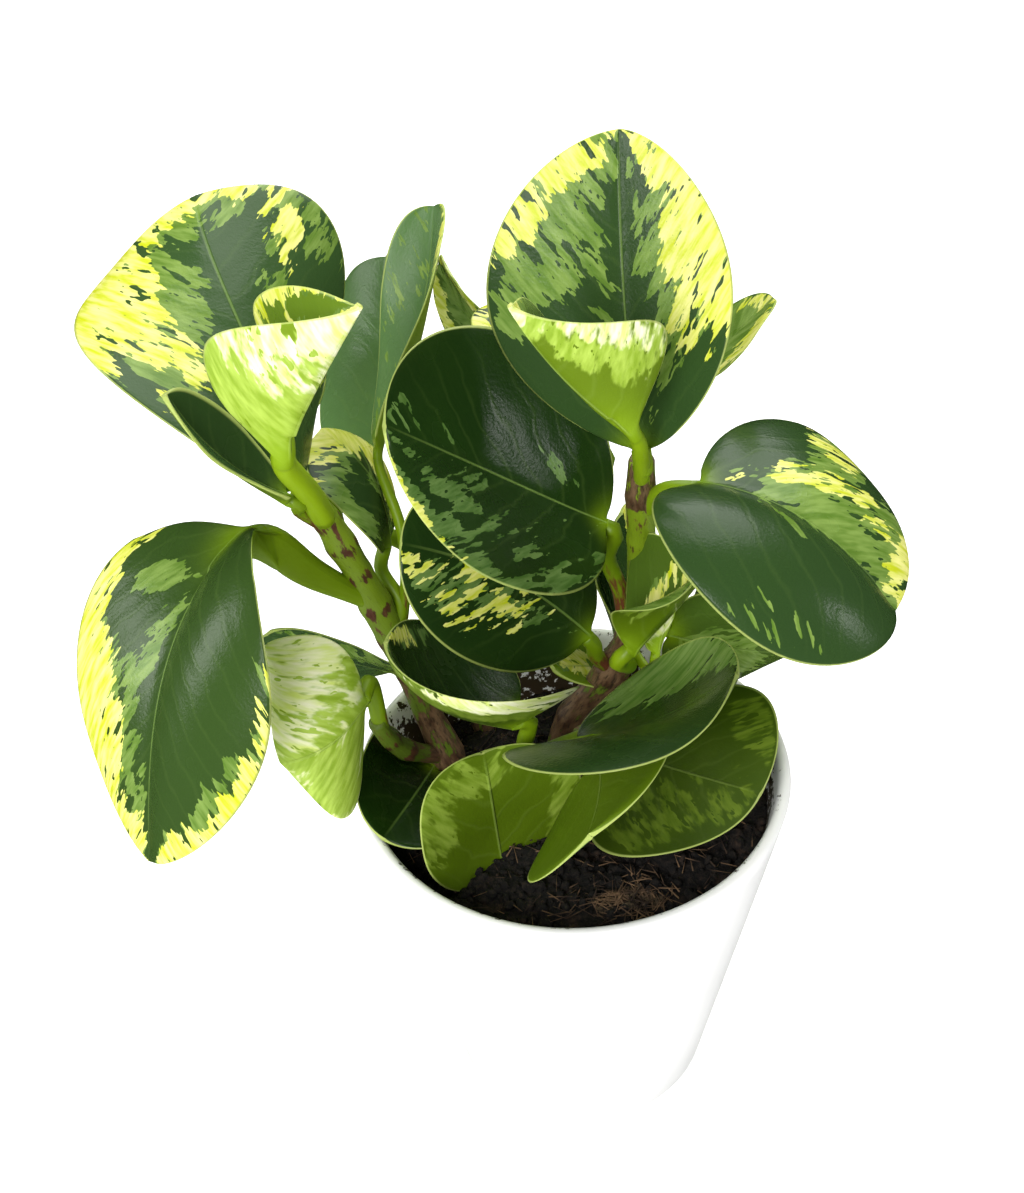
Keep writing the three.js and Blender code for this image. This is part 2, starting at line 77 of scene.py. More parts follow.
def node(tree, kind, settings=None, **wires):
    """The output of a new shader node. Its sockets are set to values or wired to others, by
    name, or by number as in i0."""
    made = tree.nodes.new("ShaderNode" + kind)
    for key, value in (settings or {}).items():
        setattr(made, key, value)
    for key, value in wires.items():
        socket = made.inputs[int(key[1:]) if key[1:].isdigit() else key.replace("_", " ")]
        if isinstance(value, bpy.types.NodeSocket):
            tree.links.new(value, socket)
        else:
            socket.default_value = value
    return made.outputs[0]


def math_node(tree, operation, first, second=0.0, third=0.0, clamp=False):
    return node(tree, "Math", {"operation": operation, "use_clamp": clamp},
                i0=first, i1=second, i2=third)


def times(tree, first, second, clamp=False):
    return math_node(tree, "MULTIPLY", first, second, clamp=clamp)


def step_between(tree, value, low, high):
    """0 below low, 1 above high, smooth between."""
    return node(tree, "MapRange", {"interpolation_type": "SMOOTHSTEP"},
                Value=value, From_Min=low, From_Max=high)


def mix_colour(tree, factor, first, second):
    """The first colour where the factor is 0, the second where it is 1."""
    mixer = tree.nodes.new("ShaderNodeMix")
    mixer.data_type = "RGBA"
    for socket, value in ((0, factor), (6, first), (7, second)):
        if isinstance(value, bpy.types.NodeSocket):
            tree.links.new(value, mixer.inputs[socket])
        else:
            mixer.inputs[socket].default_value = (*value, 1) if socket else value
    return mixer.outputs[2]


def noise_of(tree, vector, scale, detail=2.0, rough=0.5):
    return node(tree, "TexNoise", Vector=vector, Scale=scale, Detail=detail, Roughness=rough)


def object_places(tree):
    return tree.nodes.new("ShaderNodeTexCoord").outputs["Object"]


def split(tree, vector):
    """The three parts of a vector."""
    parts = tree.nodes.new("ShaderNodeSeparateXYZ")
    tree.links.new(vector, parts.inputs[0])
    return parts.outputs


def connect(tree, shader, **results):
    """Wires results to the shader's sockets of those names."""
    for socket, result in results.items():
        tree.links.new(result, shader.inputs[socket.replace("_", " ")])


def finish_piece(mesh_builder, name, materials, replaced=()):
    """Turns a bmesh into a smooth-shaded piece that rides on its body."""
    mesh = bpy.data.meshes.new(name)
    mesh_builder.to_mesh(mesh)
    mesh_builder.free()
    for material in materials:
        mesh.materials.append(material)
    mesh.polygons.foreach_set("use_smooth", [True] * len(mesh.polygons))
    piece = bpy.data.objects.new(name, mesh)
    bpy.context.collection.objects.link(piece)
    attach(piece, "root")
    if replaced:
        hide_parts(*replaced)


POT_HEIGHT, RIM, BASE, WALL = 0.120, 0.064, 0.040, 0.004
slope = (RIM - BASE) / POT_HEIGHT
foot = [(0.0, 0.0), (BASE - 0.0012, 0.0), (BASE - 0.0002, 0.0004), (BASE + 0.0003, 0.0014)]
outer_wall = [(BASE + slope * z, z) for z in (0.030, 0.060, 0.090, 0.112)]
lip = [(RIM - inwards, POT_HEIGHT - down) for inwards, down in (
    (0.0004, 0.0016), (0.0007, 0.0006), (0.0015, 0.0), (0.0027, 0.0), (0.0036, 0.0006),
    (0.0043, 0.0018))]
inner_wall = [(BASE - WALL + slope * z, z) for z in (0.110, 0.095, 0.060, 0.006)]
profile = foot + outer_wall + lip + inner_wall + [(0.0, 0.005)]

pot_wall = bmesh.new()
corners = [pot_wall.verts.new((r, 0, z)) for r, z in profile]
for near, far in zip(corners, corners[1:]):
    pot_wall.edges.new((near, far))
bmesh.ops.spin(pot_wall, geom=pot_wall.verts[:] + pot_wall.edges[:], cent=(0, 0, 0),
               axis=(0, 0, 1), angle=math.tau, steps=160, use_merge=True)
bmesh.ops.remove_doubles(pot_wall, verts=pot_wall.verts[:], dist=1e-6)
bmesh.ops.recalc_face_normals(pot_wall, faces=pot_wall.faces[:])

glaze, tree, shader = clear_material("white_glaze", 0.32, Specular_IOR_Level=0.2)
place = object_places(tree)
x, y, z = split(tree, place)
radius = math_node(tree, "SQRT", math_node(tree, "MULTIPLY_ADD", x, x, times(tree, y, y)))
wall_middle = math_node(tree, "MULTIPLY_ADD", z, slope, BASE - WALL * 0.6)
inside = step_between(tree, math_node(tree, "SUBTRACT", wall_middle, radius), 0.0, 0.0006)
near_peat = step_between(tree, z, 0.119, 0.103)
specks = noise_of(tree, place, 420, 5, 0.65)
splash = noise_of(tree, place, 90, 3, 0.6)
amount = math_node(tree, "MULTIPLY_ADD", near_peat, 0.2, times(tree, splash, 0.35))
dirt = step_between(tree, math_node(tree, "ADD", specks, amount), 0.76, 0.80)
dirt = times(tree, dirt, inside)
soft = noise_of(tree, place, 25, 2)
white = mix_colour(tree, soft, (0.9, 0.9, 0.89), (0.95, 0.95, 0.94))
ripple = noise_of(tree, place, 60, 2)
connect(tree, shader, Base_Color=mix_colour(tree, dirt, white, (0.05, 0.035, 0.02)),
        Roughness=math_node(tree, "MULTIPLY_ADD", soft, 0.1, 0.27),
        Normal=node(tree, "Bump", Strength=0.06, Distance=0.0005, Height=ripple))
finish_piece(pot_wall, "pot_wall", [glaze], replaced=["pot"])

# ---- peat -----------------------------------------------------------------------------------
# The pot is filled with dark fibrous peat, sunk toward the back. Its bed is one uneven plug,
# and loose crumbs and reddish fibres lie on it, with one light brown lump at the front.
MM = 0.001  # from here on, sizes and places are in mm until MM makes them metres
PEAT_TOP, PEAT_FOOT, PEAT_SUNK = 106, 8, 8
BED_WIDE, BED_EDGE, FOOT_EDGE, WALL_GAP = 57.6, 57.4, 37.3, 0.3
LUMP, LUMP_REACH = (11.5, -42, 106.8), (12.8, 6.06, 11.4)
CRUMBS, FIBRES = 1500, 420
random.seed(7)


def peat_height(x, y):
    """Height of the bed, in mm, at a place in mm."""
    back = min(1, max(0, (y - 5) / 50))
    sunk = PEAT_SUNK * back ** 2 * (3 - 2 * back)
    waves = 1.1 * math.sin(x / 7 + 1) * math.cos(y / 9) + 0.7 * math.sin((x + 2 * y) / 5)
    lump = 3 * math.exp(-((x - LUMP[0]) ** 2 + (y - LUMP[1]) ** 2) / 120)
    return PEAT_TOP - sunk + waves + lump


def place_on_bed(widest):
    """A random place in mm, spread evenly within that distance of the middle."""
    angle, reach = random.uniform(0, math.tau), widest * math.sqrt(random.random())
    return reach * math.cos(angle), reach * math.sin(angle)


bed = bmesh.new()
bmesh.ops.create_grid(bed, x_segments=180, y_segments=90, size=1)
for vert in bed.verts:
    angle = math.pi * (vert.co.x + 1)
    reach = BED_WIDE * (vert.co.y + 1) / 2
    x, y = reach * math.cos(angle), reach * math.sin(angle)
    crumb = noise.fractal(Vector((x / 3.2, y / 3.2, 2)), 0.7, 2.1, 5)
    clod = noise.noise(Vector((x / 7, y / 7, 9)))
    z = peat_height(x, y) + crumb + clod
    at_wall = (BASE - WALL) / MM + slope * z - WALL_GAP
    fit = min(1, at_wall / max(reach, 1e-6))
    vert.co = Vector((x * fit, y * fit, z)) * MM
bmesh.ops.remove_doubles(bed, verts=bed.verts[:], dist=1e-6)
skirt = bmesh.ops.extrude_edge_only(bed, edges=[e for e in bed.edges if e.is_boundary])
narrow = FOOT_EDGE / BED_EDGE
for vert in [g for g in skirt["geom"] if isinstance(g, bmesh.types.BMVert)]:
    vert.co = Vector((vert.co.x * narrow, vert.co.y * narrow, PEAT_FOOT * MM))
bmesh.ops.holes_fill(bed, edges=[e for e in bed.edges if e.is_boundary], sides=0)
bmesh.ops.recalc_face_normals(bed, faces=bed.faces[:])

peat, tree, shader = clear_material("dark_peat", 0.92)
place = object_places(tree)
fine = noise_of(tree, place, 700, 5, 0.7)
coarse = noise_of(tree, place, 160, 4, 0.6)
colour = mix_colour(tree, step_between(tree, fine, 0.42, 0.66),
                    (0.002, 0.0015, 0.001), (0.021, 0.014, 0.009))
colour = mix_colour(tree, step_between(tree, coarse, 0.55, 0.72), colour, (0.05, 0.028, 0.016))
# the lump's own colour fills an oval around its middle
to_lump = node(tree, "Mapping", Vector=place, Scale=[1 / (reach * MM) for reach in LUMP_REACH],
               Location=[-middle / reach for middle, reach in zip(LUMP, LUMP_REACH)])
nearness = node(tree, "TexGradient", {"gradient_type": "SPHERICAL"}, Vector=to_lump)
ragged = math_node(tree, "MULTIPLY_ADD", coarse, 0.8, nearness)
lump = mix_colour(tree, step_between(tree, fine, 0.4, 0.62),
                  (0.03, 0.018, 0.009), (0.15, 0.105, 0.055))
connect(tree, shader,
        Base_Color=mix_colour(tree, step_between(tree, ragged, 0.62, 0.72), colour, lump),
        Normal=node(tree, "Bump", Strength=0.9, Distance=0.0012, Height=fine))
finish_piece(bed, "peat_bed", [peat], replaced=["soil"])

crumbs = bmesh.new()
for _ in range(CRUMBS):
    x, y = place_on_bed(56.5)
    size = random.choice((0.5, 0.7, 0.9, 1.3, 1.9))
    place = Matrix.Translation(Vector((x, y, peat_height(x, y) + 0.5)) * MM)
    spin = Matrix.Rotation(random.uniform(0, math.tau), 4, Vector((
        random.uniform(-1, 1), random.uniform(-1, 1), random.uniform(0.1, 1))).normalized())
    stretch = Matrix.Diagonal((size * random.uniform(0.6, 1.5) * MM, size * MM,
                               size * random.uniform(0.5, 0.9) * MM, 1))
    bmesh.ops.create_icosphere(crumbs, subdivisions=1, radius=1, matrix=place @ spin @ stretch)
for vert in crumbs.verts:
    vert.co += noise.noise_vector(vert.co * 900) * 0.35 * MM
finish_piece(crumbs, "peat_crumbs", [peat])

fibres = bmesh.new()
for _ in range(FIBRES):
    x, y = place_on_bed(54)
    if random.random() < 0.35:
        x, y = random.gauss(LUMP[0], 7), random.gauss(LUMP[1], 4)
        if math.hypot(x, y) > 54:
            continue
    heading, length = random.uniform(0, math.tau), random.uniform(2.5, 9)
    thick = random.uniform(0.12, 0.3) * MM
    bend = random.uniform(-0.9, 0.9)
    grown = bmesh.ops.create_cone(fibres, cap_ends=True, segments=4, radius1=thick,
                                  radius2=thick * 0.5, depth=1)["verts"]
    low_end = [v for v in grown if v.co.z < 0]
    tip = [v for v in grown if v.co.z > 0]
    across = Vector((-math.sin(heading), math.cos(heading), 0))
    for end, share in ((low_end, -0.5), (tip, 0.5)):
        end_x = x + math.cos(heading + bend * share) * length * share
        end_y = y + math.sin(heading + bend * share) * length * share
        end_z = peat_height(end_x, end_y) + 1.1 + random.uniform(0, 0.8)
        middle = Vector((end_x, end_y, end_z)) * MM
        for v in end:
            v.co = middle + across * v.co.x + Vector((0, 0, 1)) * v.co.y
dry, tree, shader = clear_material("dry_fibres", 0.85)
streak = step_between(tree, noise_of(tree, object_places(tree), 130, 2), 0.4, 0.62)
connect(tree, shader,
        Base_Color=mix_colour(tree, streak, (0.03, 0.016, 0.009), (0.17, 0.1, 0.05)))
finish_piece(fibres, "peat_fibres", [dry])

# ---- stems ----------------------------------------------------------------------------------
# Thick fleshy stems, swollen at each joint. The skin is green between the joints, with
# red-brown streaks along it, and brown and scarred around them.
STEMS = {  # the joints of each stem and its radius there, in mm
    "stem_left": [
        (-32, 13, 70, 3.6), (-34, 14, 92, 4.2), (-37.5, 15, 114, 5.2), (-42, 16, 130, 4.2),
        (-46.5, 16, 147.5, 4), (-50, 16, 161, 4.6), (-53.5, 15, 174, 4.8), (-57, 14, 186.5, 4),
        (-60.5, 13, 197, 4.4), (-63.5, 12, 206.5, 3.8), (-66.5, 11, 214, 3.4)],
    "stem_right": [
        (-9, 28, 72, 4), (-4, 27.5, 96, 4.6), (1.5, 27, 115, 5), (7, 26, 124, 4.8),
        (13.5, 24, 136, 5.4), (18.5, 22, 150, 4.2), (21, 20, 168, 3.8), (21.5, 17, 190, 4),
        (21, 13, 208, 4.2), (21, 10, 222, 3.6)],
    "stem_front": [
        (-5, 6, 76, 3.2), (-3, 4, 94, 3.6), (-1, 1, 112, 4), (1, -2, 126, 3.6),
        (3, -6, 139, 3.2)],
    "stem_rear": [
        (25, 32, 76, 3.2), (27, 34, 96, 3.6), (30, 38, 112, 3.6), (35, 43, 125, 3.4),
        (42, 50, 136, 3.2)],
    "stem_back": [
        (-24, 38, 76, 3.4), (-26, 40, 96, 4), (-28, 44, 130, 3.6), (-31, 49, 158, 4.2),
        (-34, 53, 178, 3.6), (-36, 57, 194, 3.2)],
}
SIDE_SHOOT = [
    (-38, 15, 113, 3), (-43, 10, 119, 2.8), (-48.5, 2, 129, 3.2), (-52, -3, 138, 2.8),
    (-55, -8, 150, 2.6)]
# the seed of each stem's bark, and the heights that it is brown below and above
NOWHERE = 999
BARK = {"stem_left": (0, 150, NOWHERE), "stem_right": (2, 165, 204),
        "stem_front": (3, 165, NOWHERE), "stem_rear": (4, 165, NOWHERE),
        "stem_back": (5, 165, NOWHERE)}
SHOOT_BARK = (9, 132, NOWHERE)


def span_at(points, t):
    """The span that holds t on a line through the points, and the share of it that is passed."""
    along = min(t * (len(points) - 1), len(points) - 1.0001)
    return int(along), along - int(along)


def smooth_line(points, t):
    """Place on a smooth line through the points, t from 0 to 1 in even steps per point."""
    i, s = span_at(points, t)
    a, b = points[i], points[i + 1]
    before = points[i - 1] if i else a * 2 - b
    after = points[i + 2] if i + 2 < len(points) else b * 2 - a
    # the steps between points are weighed by the root of their length, so no loops form
    first, middle, last = (math.sqrt((q - p).length) for p, q in ((before, a), (a, b), (b, after)))
    leave = ((a - before) / first - (b - before) / (first + middle) + (b - a) / middle) * middle
    arrive = ((b - a) / middle - (after - a) / (middle + last) + (after - b) / last) * middle
    return (a + leave * s + (3 * (b - a) - 2 * leave - arrive) * s * s
            + (2 * (a - b) + leave + arrive) * s ** 3)


def run_along(points):
    """The length of the line through the points, up to each of them."""
    run = [0.0]
    for a, b in zip(points, points[1:]):
        run.append(run[-1] + (b - a).length)
    return run


def evenly_along(points, steps, samples=200):
    """Places in steps of equal length on the smooth line through the points."""
    fine = [smooth_line(points, i / samples) for i in range(samples + 1)]
    run = run_along(fine)
    places, i = [], 0
    for step in range(steps + 1):
        goal = run[-1] * step / steps
        while i < samples - 1 and run[i + 1] < goal:
            i += 1
        places.append(fine[i].lerp(fine[i + 1], (goal - run[i]) / max(run[i + 1] - run[i], 1e-9)))
    return places


def ring_grid(columns, rows, titles):
    """A bmesh sheet of columns by rows squares to roll up, each vert with its column and row.
    It carries a layer of numbers for each title and one of places."""
    tube = bmesh.new()
    for title in titles:
        tube.verts.layers.float.new(title)
    tube.verts.layers.float_vector.new("place")
    bmesh.ops.create_grid(tube, x_segments=columns, y_segments=rows, size=1)
    return tube, [(v, round((v.co.x + 1) / 2 * columns), round((v.co.y + 1) / 2 * rows))
                  for v in tube.verts]


def close_tube(tube):
    """Joins the sheet's sides, fills its ends and turns its faces outwards."""
    bmesh.ops.remove_doubles(tube, verts=tube.verts[:], dist=1e-6)
    bmesh.ops.holes_fill(tube, edges=[e for e in tube.edges if e.is_boundary], sides=0)
    bmesh.ops.recalc_face_normals(tube, faces=tube.faces[:])
    if tube.calc_volume(signed=True) < 0:
        bmesh.ops.reverse_faces(tube, faces=tube.faces[:])


def build_stem(points, seed, brown_below, brown_above):
    """A stem through its joints, brown below one height and above another, in mm."""
    around, rows = 24, 16 * (len(points) - 1)
    tube, grid = ring_grid(around, rows, ["joint", "brown"])
    joint = tube.verts.layers.float["joint"]
    brown = tube.verts.layers.float["brown"]
    lengthwise = tube.verts.layers.float_vector["place"]
    centres = [Vector(p[:3]) for p in points]
    run = run_along(centres)
    for vert, column, row in grid:
        t = row / rows
        i, s = span_at(points, t)
        middle = smooth_line(centres, t)
        way = smooth_line(centres, min(1, t + 0.004)) - smooth_line(centres, max(0, t - 0.004))
        way.normalize()
        side = (Vector((1, 0, 0)) - way * way.x).normalized()
        up = side.cross(way)
        ease = (1 - math.cos(math.pi * s)) / 2
        radius = points[i][3] * (1 - ease) + points[i + 1][3] * ease
        nearest = min(s, 1 - s) * (run[i + 1] - run[i])
        swell = math.exp(-(nearest / 2.2) ** 2) if 0 < i + round(s) < len(points) - 1 else 0
        angle = math.tau * column / around
        aside, above = math.cos(angle), math.sin(angle)
        ridge = noise.noise(Vector((aside * 1.6, above * 1.6, middle.z / 30 + seed)))
        knob = noise.noise(Vector((aside, above, middle.z / 4 + seed)))
        radius *= 0.97 + 0.07 * swell + 0.05 * ridge + 0.03 * knob * swell
        if row in (0, rows):
            radius *= 0.9
        vert.co = (middle + side * radius * aside + up * radius * above) * MM
        vert[joint] = swell
        vert[brown] = min(1, max(0, (brown_below - middle.z) / 20, (middle.z - brown_above) / 4))
        length = run[i] + s * (run[i + 1] - run[i])
        vert[lengthwise] = Vector((aside * 0.6, above * 0.6, length / 30 + seed * 3))
    close_tube(tube)
    return tube


def attribute_of(tree, title, output="Fac"):
    found = tree.nodes.new("ShaderNodeAttribute")
    found.attribute_name = title
    return found.outputs[output]


stem_skin, tree, shader = clear_material("stem_skin", 0.42, Coat_Weight=0.15, Coat_Roughness=0.3)
place = attribute_of(tree, "place", "Vector")
at_joint, woody = attribute_of(tree, "joint"), attribute_of(tree, "brown")
height = split(tree, object_places(tree))[2]
streaks = noise_of(tree, place, 3.4, 5, 0.62)
patches = noise_of(tree, place, 1.1, 2)
fibre = noise_of(tree, place, 9, 4, 0.7)
green = mix_colour(tree, patches, (0.07, 0.13, 0.006), (0.16, 0.23, 0.02))
green = mix_colour(tree, step_between(tree, height, 0.14, 0.19), green, (0.2, 0.3, 0.01))
old_bark = mix_colour(tree, step_between(tree, streaks, 0.35, 0.65),
                      (0.06, 0.025, 0.012), (0.2, 0.12, 0.06))
scar = mix_colour(tree, step_between(tree, streaks, 0.4, 0.7),
                  (0.05, 0.012, 0.008), (0.13, 0.045, 0.022))
brown_share = math_node(tree, "MULTIPLY_ADD", woody, 0.2, times(tree, patches, 0.2))
brown_share = math_node(tree, "ADD", streaks, brown_share)
brown_share = math_node(tree, "MULTIPLY_ADD", at_joint, 0.17, brown_share)
colour = mix_colour(tree, step_between(tree, brown_share, 0.71, 0.76), green,
                    mix_colour(tree, woody, scar, old_bark))
crack = math_node(tree, "MULTIPLY_ADD", woody, 0.12, fibre)
colour = mix_colour(tree, step_between(tree, crack, 0.62, 0.78), colour, (0.035, 0.02, 0.01))
connect(tree, shader, Base_Color=colour,
        Normal=node(tree, "Bump", Strength=0.5, Distance=0.0006, Height=fibre))
for name, points in STEMS.items():
    stem = build_stem(points, *BARK[name])
    if name == "stem_left":
        shoot = build_stem(SIDE_SHOOT, *SHOOT_BARK)
        joined = bpy.data.meshes.new("shoot")
        shoot.to_mesh(joined)
        shoot.free()
        stem.from_mesh(joined)
        bpy.data.meshes.remove(joined)
    finish_piece(stem, name + "_skin", [stem_skin], replaced=[name])


# ---- leaves ---------------------------------------------------------------------------------
# Thick waxy leaves, each with its own stalk, grown row by row along a stalk and a midrib. They
# are dark green with mid-green and yellow areas whose ragged edges follow the side veins; the
# upper face is glossy, the underside lighter and duller.
VEIN_STEP = 9.5


def tint(red, green, blue):
    """A colour from its 0 to 255 screen values."""
    return tuple(((value / 255 + 0.055) / 1.055) ** 2.4 for value in (red, green, blue))


def leaf_material(name, top):
    """The skin of one face, on the layers and places that grow_leaf gives, in mm."""
    material, tree, shader = clear_material(name, 0.3 if top else 0.5, Specular_IOR_Level=0.2)
    place = attribute_of(tree, "place", "Vector")
    vein_run, across, _ = split(tree, place)
    object_place = object_places(tree)

    def veined(fine, drawn_out, shift, detail=2.0):
        """Noise drawn out along the side veins, its grain in mm."""
        moved = node(tree, "Mapping", Vector=place, Location=(shift, shift / 2, shift / 3),
                     Scale=(1 / fine, 1 / drawn_out, 1))
        return noise_of(tree, moved, 1.0, detail, 0.6)

    def area(title, shift):
        """1 inside an area of that colour: its depth in mm, roughened and cut off sharply."""
        depth = math_node(tree, "MULTIPLY_ADD", veined(5.5, 9.5, shift), 16.0,
                          attribute_of(tree, title))
        depth = math_node(tree, "MULTIPLY_ADD", veined(1.9, 3.2, shift + 5), 7.0, depth)
        depth = math_node(tree, "MULTIPLY_ADD", islands, -8.0, depth)
        flecks = step_between(tree, veined(2.2, 3.0, shift + 9), 0.66, 0.68)
        depth = math_node(tree, "MULTIPLY_ADD", flecks, -4.0, depth)
        return step_between(tree, depth, *((11.4, 11.6) if top else (10.2, 12.8)))

    broad, grain = noise_of(tree, object_place, 55, 3), veined(1.0, 4.0, 21, 4.0)
    islands = step_between(tree, veined(5.0, 6.6, 47), 0.62, 0.65)
    mottle = step_between(tree, veined(3.0, 8.0, 33), 0.3, 0.7)
    tone_and_sheen = attribute_of(tree, "tone_and_sheen")
    if top:
        # tone_and_sheen pales the dark green toward grey-green: the leaf's own tone at low values, a
        # painted sheen at the high grey end
        dark = mix_colour(tree, times(tree, tone_and_sheen, 0.5), tint(8, 32, 6), tint(98, 134, 80))
        dark = mix_colour(tree, times(tree, broad, 0.25), dark, tint(48, 86, 10))
        light = mix_colour(tree, mottle, tint(94, 128, 44), tint(136, 164, 80))
        grey = mix_colour(tree, mottle, tint(58, 92, 38), tint(98, 128, 70))
        pale = mix_colour(tree, mottle, tint(206, 216, 34), tint(248, 246, 150))
        rib_colour = tint(140, 172, 84)
    else:
        dark = mix_colour(tree, tone_and_sheen, tint(40, 64, 2), tint(120, 150, 20))
        dark = mix_colour(tree, times(tree, broad, 0.3), dark, tint(110, 132, 10))
        light = mix_colour(tree, mottle, tint(144, 176, 44), tint(184, 212, 88))
        grey = mix_colour(tree, mottle, tint(72, 96, 8), tint(100, 122, 22))
        pale = mix_colour(tree, mottle, tint(222, 238, 126), tint(255, 255, 220))
        rib_colour = tint(180, 206, 110)
    light = mix_colour(tree, times(tree, tone_and_sheen, 2.5, clamp=True), grey, light)
    young = attribute_of(tree, "young")
    dark = mix_colour(tree, young, dark, tint(142, 176, 12))
    colour = mix_colour(tree, area("light", 2.0), dark, light)
    colour = mix_colour(tree, area("pale", 14.0), colour, pale)
    colour = mix_colour(tree, times(tree, grain, 0.16), colour, tint(60, 84, 30))
    # fresh green where the stalk enters
    fresh = mix_colour(tree, times(tree, young, 2.0, clamp=True),
                       tint(116, 146, 16), tint(140, 174, 12))
    colour = mix_colour(tree, times(tree, attribute_of(tree, "base"), 0.95), colour, fresh)
    # the midrib, and a side vein at every VEIN_STEP, further along on one half
    share = attribute_of(tree, "vein")
    from_rib = math_node(tree, "ABSOLUTE", across)
    rib = times(tree, step_between(tree, from_rib, 0.6, 0.15), share)
    colour = mix_colour(tree, times(tree, rib, 0.45 if top else 0.25), colour, rib_colour)
    wiggle = times(tree, math_node(tree, "MULTIPLY_ADD", broad, 14.0, vein_run), 1 / VEIN_STEP)
    phase = math_node(tree, "MULTIPLY_ADD", math_node(tree, "SIGN", across), 0.2, wiggle)
    from_vein = math_node(tree, "SUBTRACT", math_node(tree, "FRACT", phase), 0.5)
    from_vein = math_node(tree, "ABSOLUTE", from_vein)
    vein = times(tree, step_between(tree, from_vein, 0.12, 0.0), share)
    colour = mix_colour(tree, times(tree, vein, 0.05), colour, rib_colour)
    rim = step_between(tree, attribute_of(tree, "edge"), 0.7, 0.25)
    colour = mix_colour(tree, times(tree, rim, 0.7), colour, tint(196, 212, 116))
    # relief in mm: sunk ribs and veins above, raised ones below, and a fine grain
    swell = math_node(tree, "COSINE", times(tree, phase, math.tau))
    relief = times(tree, noise_of(tree, object_place, 1100, 2), 0.08)
    relief = math_node(tree, "MULTIPLY_ADD", times(tree, swell, share), -0.04 if top else 0.04,
                       relief)
    relief = math_node(tree, "MULTIPLY_ADD", vein, -0.03 if top else 0.05, relief)
    relief = math_node(tree, "MULTIPLY_ADD", rib, -0.22 if top else 0.35, relief)
    connect(tree, shader, Base_Color=colour,
            Roughness=math_node(tree, "MULTIPLY_ADD", broad, 0.16, 0.18 if top else 0.42),
            Normal=node(tree, "Bump", Strength=1.0, Distance=MM, Height=relief))
    return material


def stalk_material():
    material, tree, shader = clear_material("leaf_stalk", 0.4, Specular_IOR_Level=0.3)
    lengthwise = node(tree, "Mapping", Vector=attribute_of(tree, "place", "Vector"),
                      Scale=(1 / 9, 1 / 2.2, 1))
    streaks = noise_of(tree, lengthwise, 1.0, 4, 0.6)
    young = attribute_of(tree, "young")
    green = mix_colour(tree, young, tint(84, 114, 4), tint(146, 178, 6))
    green = mix_colour(tree, times(tree, streaks, 0.6), green, tint(134, 160, 30))
    red = mix_colour(tree, streaks, tint(72, 30, 18), tint(124, 72, 44))
    share = math_node(tree, "ADD", streaks, attribute_of(tree, "reddish"))
    connect(tree, shader,
            Base_Color=mix_colour(tree, step_between(tree, share, 1.0, 1.14), green, red),
            Normal=node(tree, "Bump", Strength=0.6, Distance=MM * 0.4, Height=streaks))
    return material


upper_face = leaf_material("leaf_upper_face", True)
lower_face = leaf_material("leaf_lower_face", False)
leaf_stalk = stalk_material()


def outline(t, widest, taper):
    """Half the blade's width at t along its midrib, as a share of its largest."""
    after = taper * (1 - widest) / widest
    return (t ** taper * (1 - t) ** after) / (widest ** taper * (1 - widest) ** after)


def depth_in(areas, t, u, length, half):
    """How deep in mm a place lies inside the nearest of the areas, below 0 outside them. An
    area is an oval: t and u of its middle and its reach along and across. Two more numbers are
    how far its middle leans sideways for each step in t, and the depth that it is kept to."""
    deepest = -14.0
    for at, across, along, out, *more in areas:
        lean, most = more or (0, 99)
        reach = math.hypot((t - at) / along, (u - across - lean * (t - at)) / out)
        deepest = max(deepest, min(most, (1 - reach) * min(along * length, out * half)))
    return deepest


def stalk_frames(line, way, right, up):
    """Along the stalk, from the stem to the blade: places, each with its three directions, which
    turn with the line from the blade's own; then t, and the share of the stalk passed."""
    frames = []
    for i in range(len(line) - 2, -1, -1):
        tangent = (line[i + 1] - line[max(0, i - 1)]).normalized()
        turn = way.rotation_difference(tangent)
        way, right, up = turn @ way, turn @ right, turn @ up
        frames.insert(0, (line[i], way, right, up, 0.0, i / (len(line) - 1)))
    return frames


def midrib_frames(at, way, right, up, length, rows, droop, early, sweep, twist):
    """The same along the midrib, which bends evenly by its angles, or droops more near the
    stalk where early is above 0. The rows stand closer together at both ends."""
    frames, before = [], 0.0
    for i in range(rows + 1):
        t = (1 - math.cos(math.pi * i / rows)) / 2
        part, here = t - before, (t + before) / 2
        if i:
            way = (way - up * math.radians(droop) * (1 + early * (1 - 2 * here)) * part
                   + right * math.radians(sweep) * part).normalized()
            up = up + right * math.radians(twist) * part
            up = (up - way * up.dot(way)).normalized()
            right = way.cross(up)
            at = at + way * length * part
        before = t
        frames.append((at, way, right, up, t, 1.0))
    return frames


FACES_ACROSS, STALK_ROWS, BLADE_ROWS = 26, 14, 54
MARGIN_THICK, RIB_THICK, TIP_WIDTH, MARGIN_WAVE = 0.4, 0.8, 0.8, 1.1
LAYERS = ("light", "pale", "edge", "vein", "tone_and_sheen", "young", "base", "reddish")
leaf_numbers = itertools.count(1)


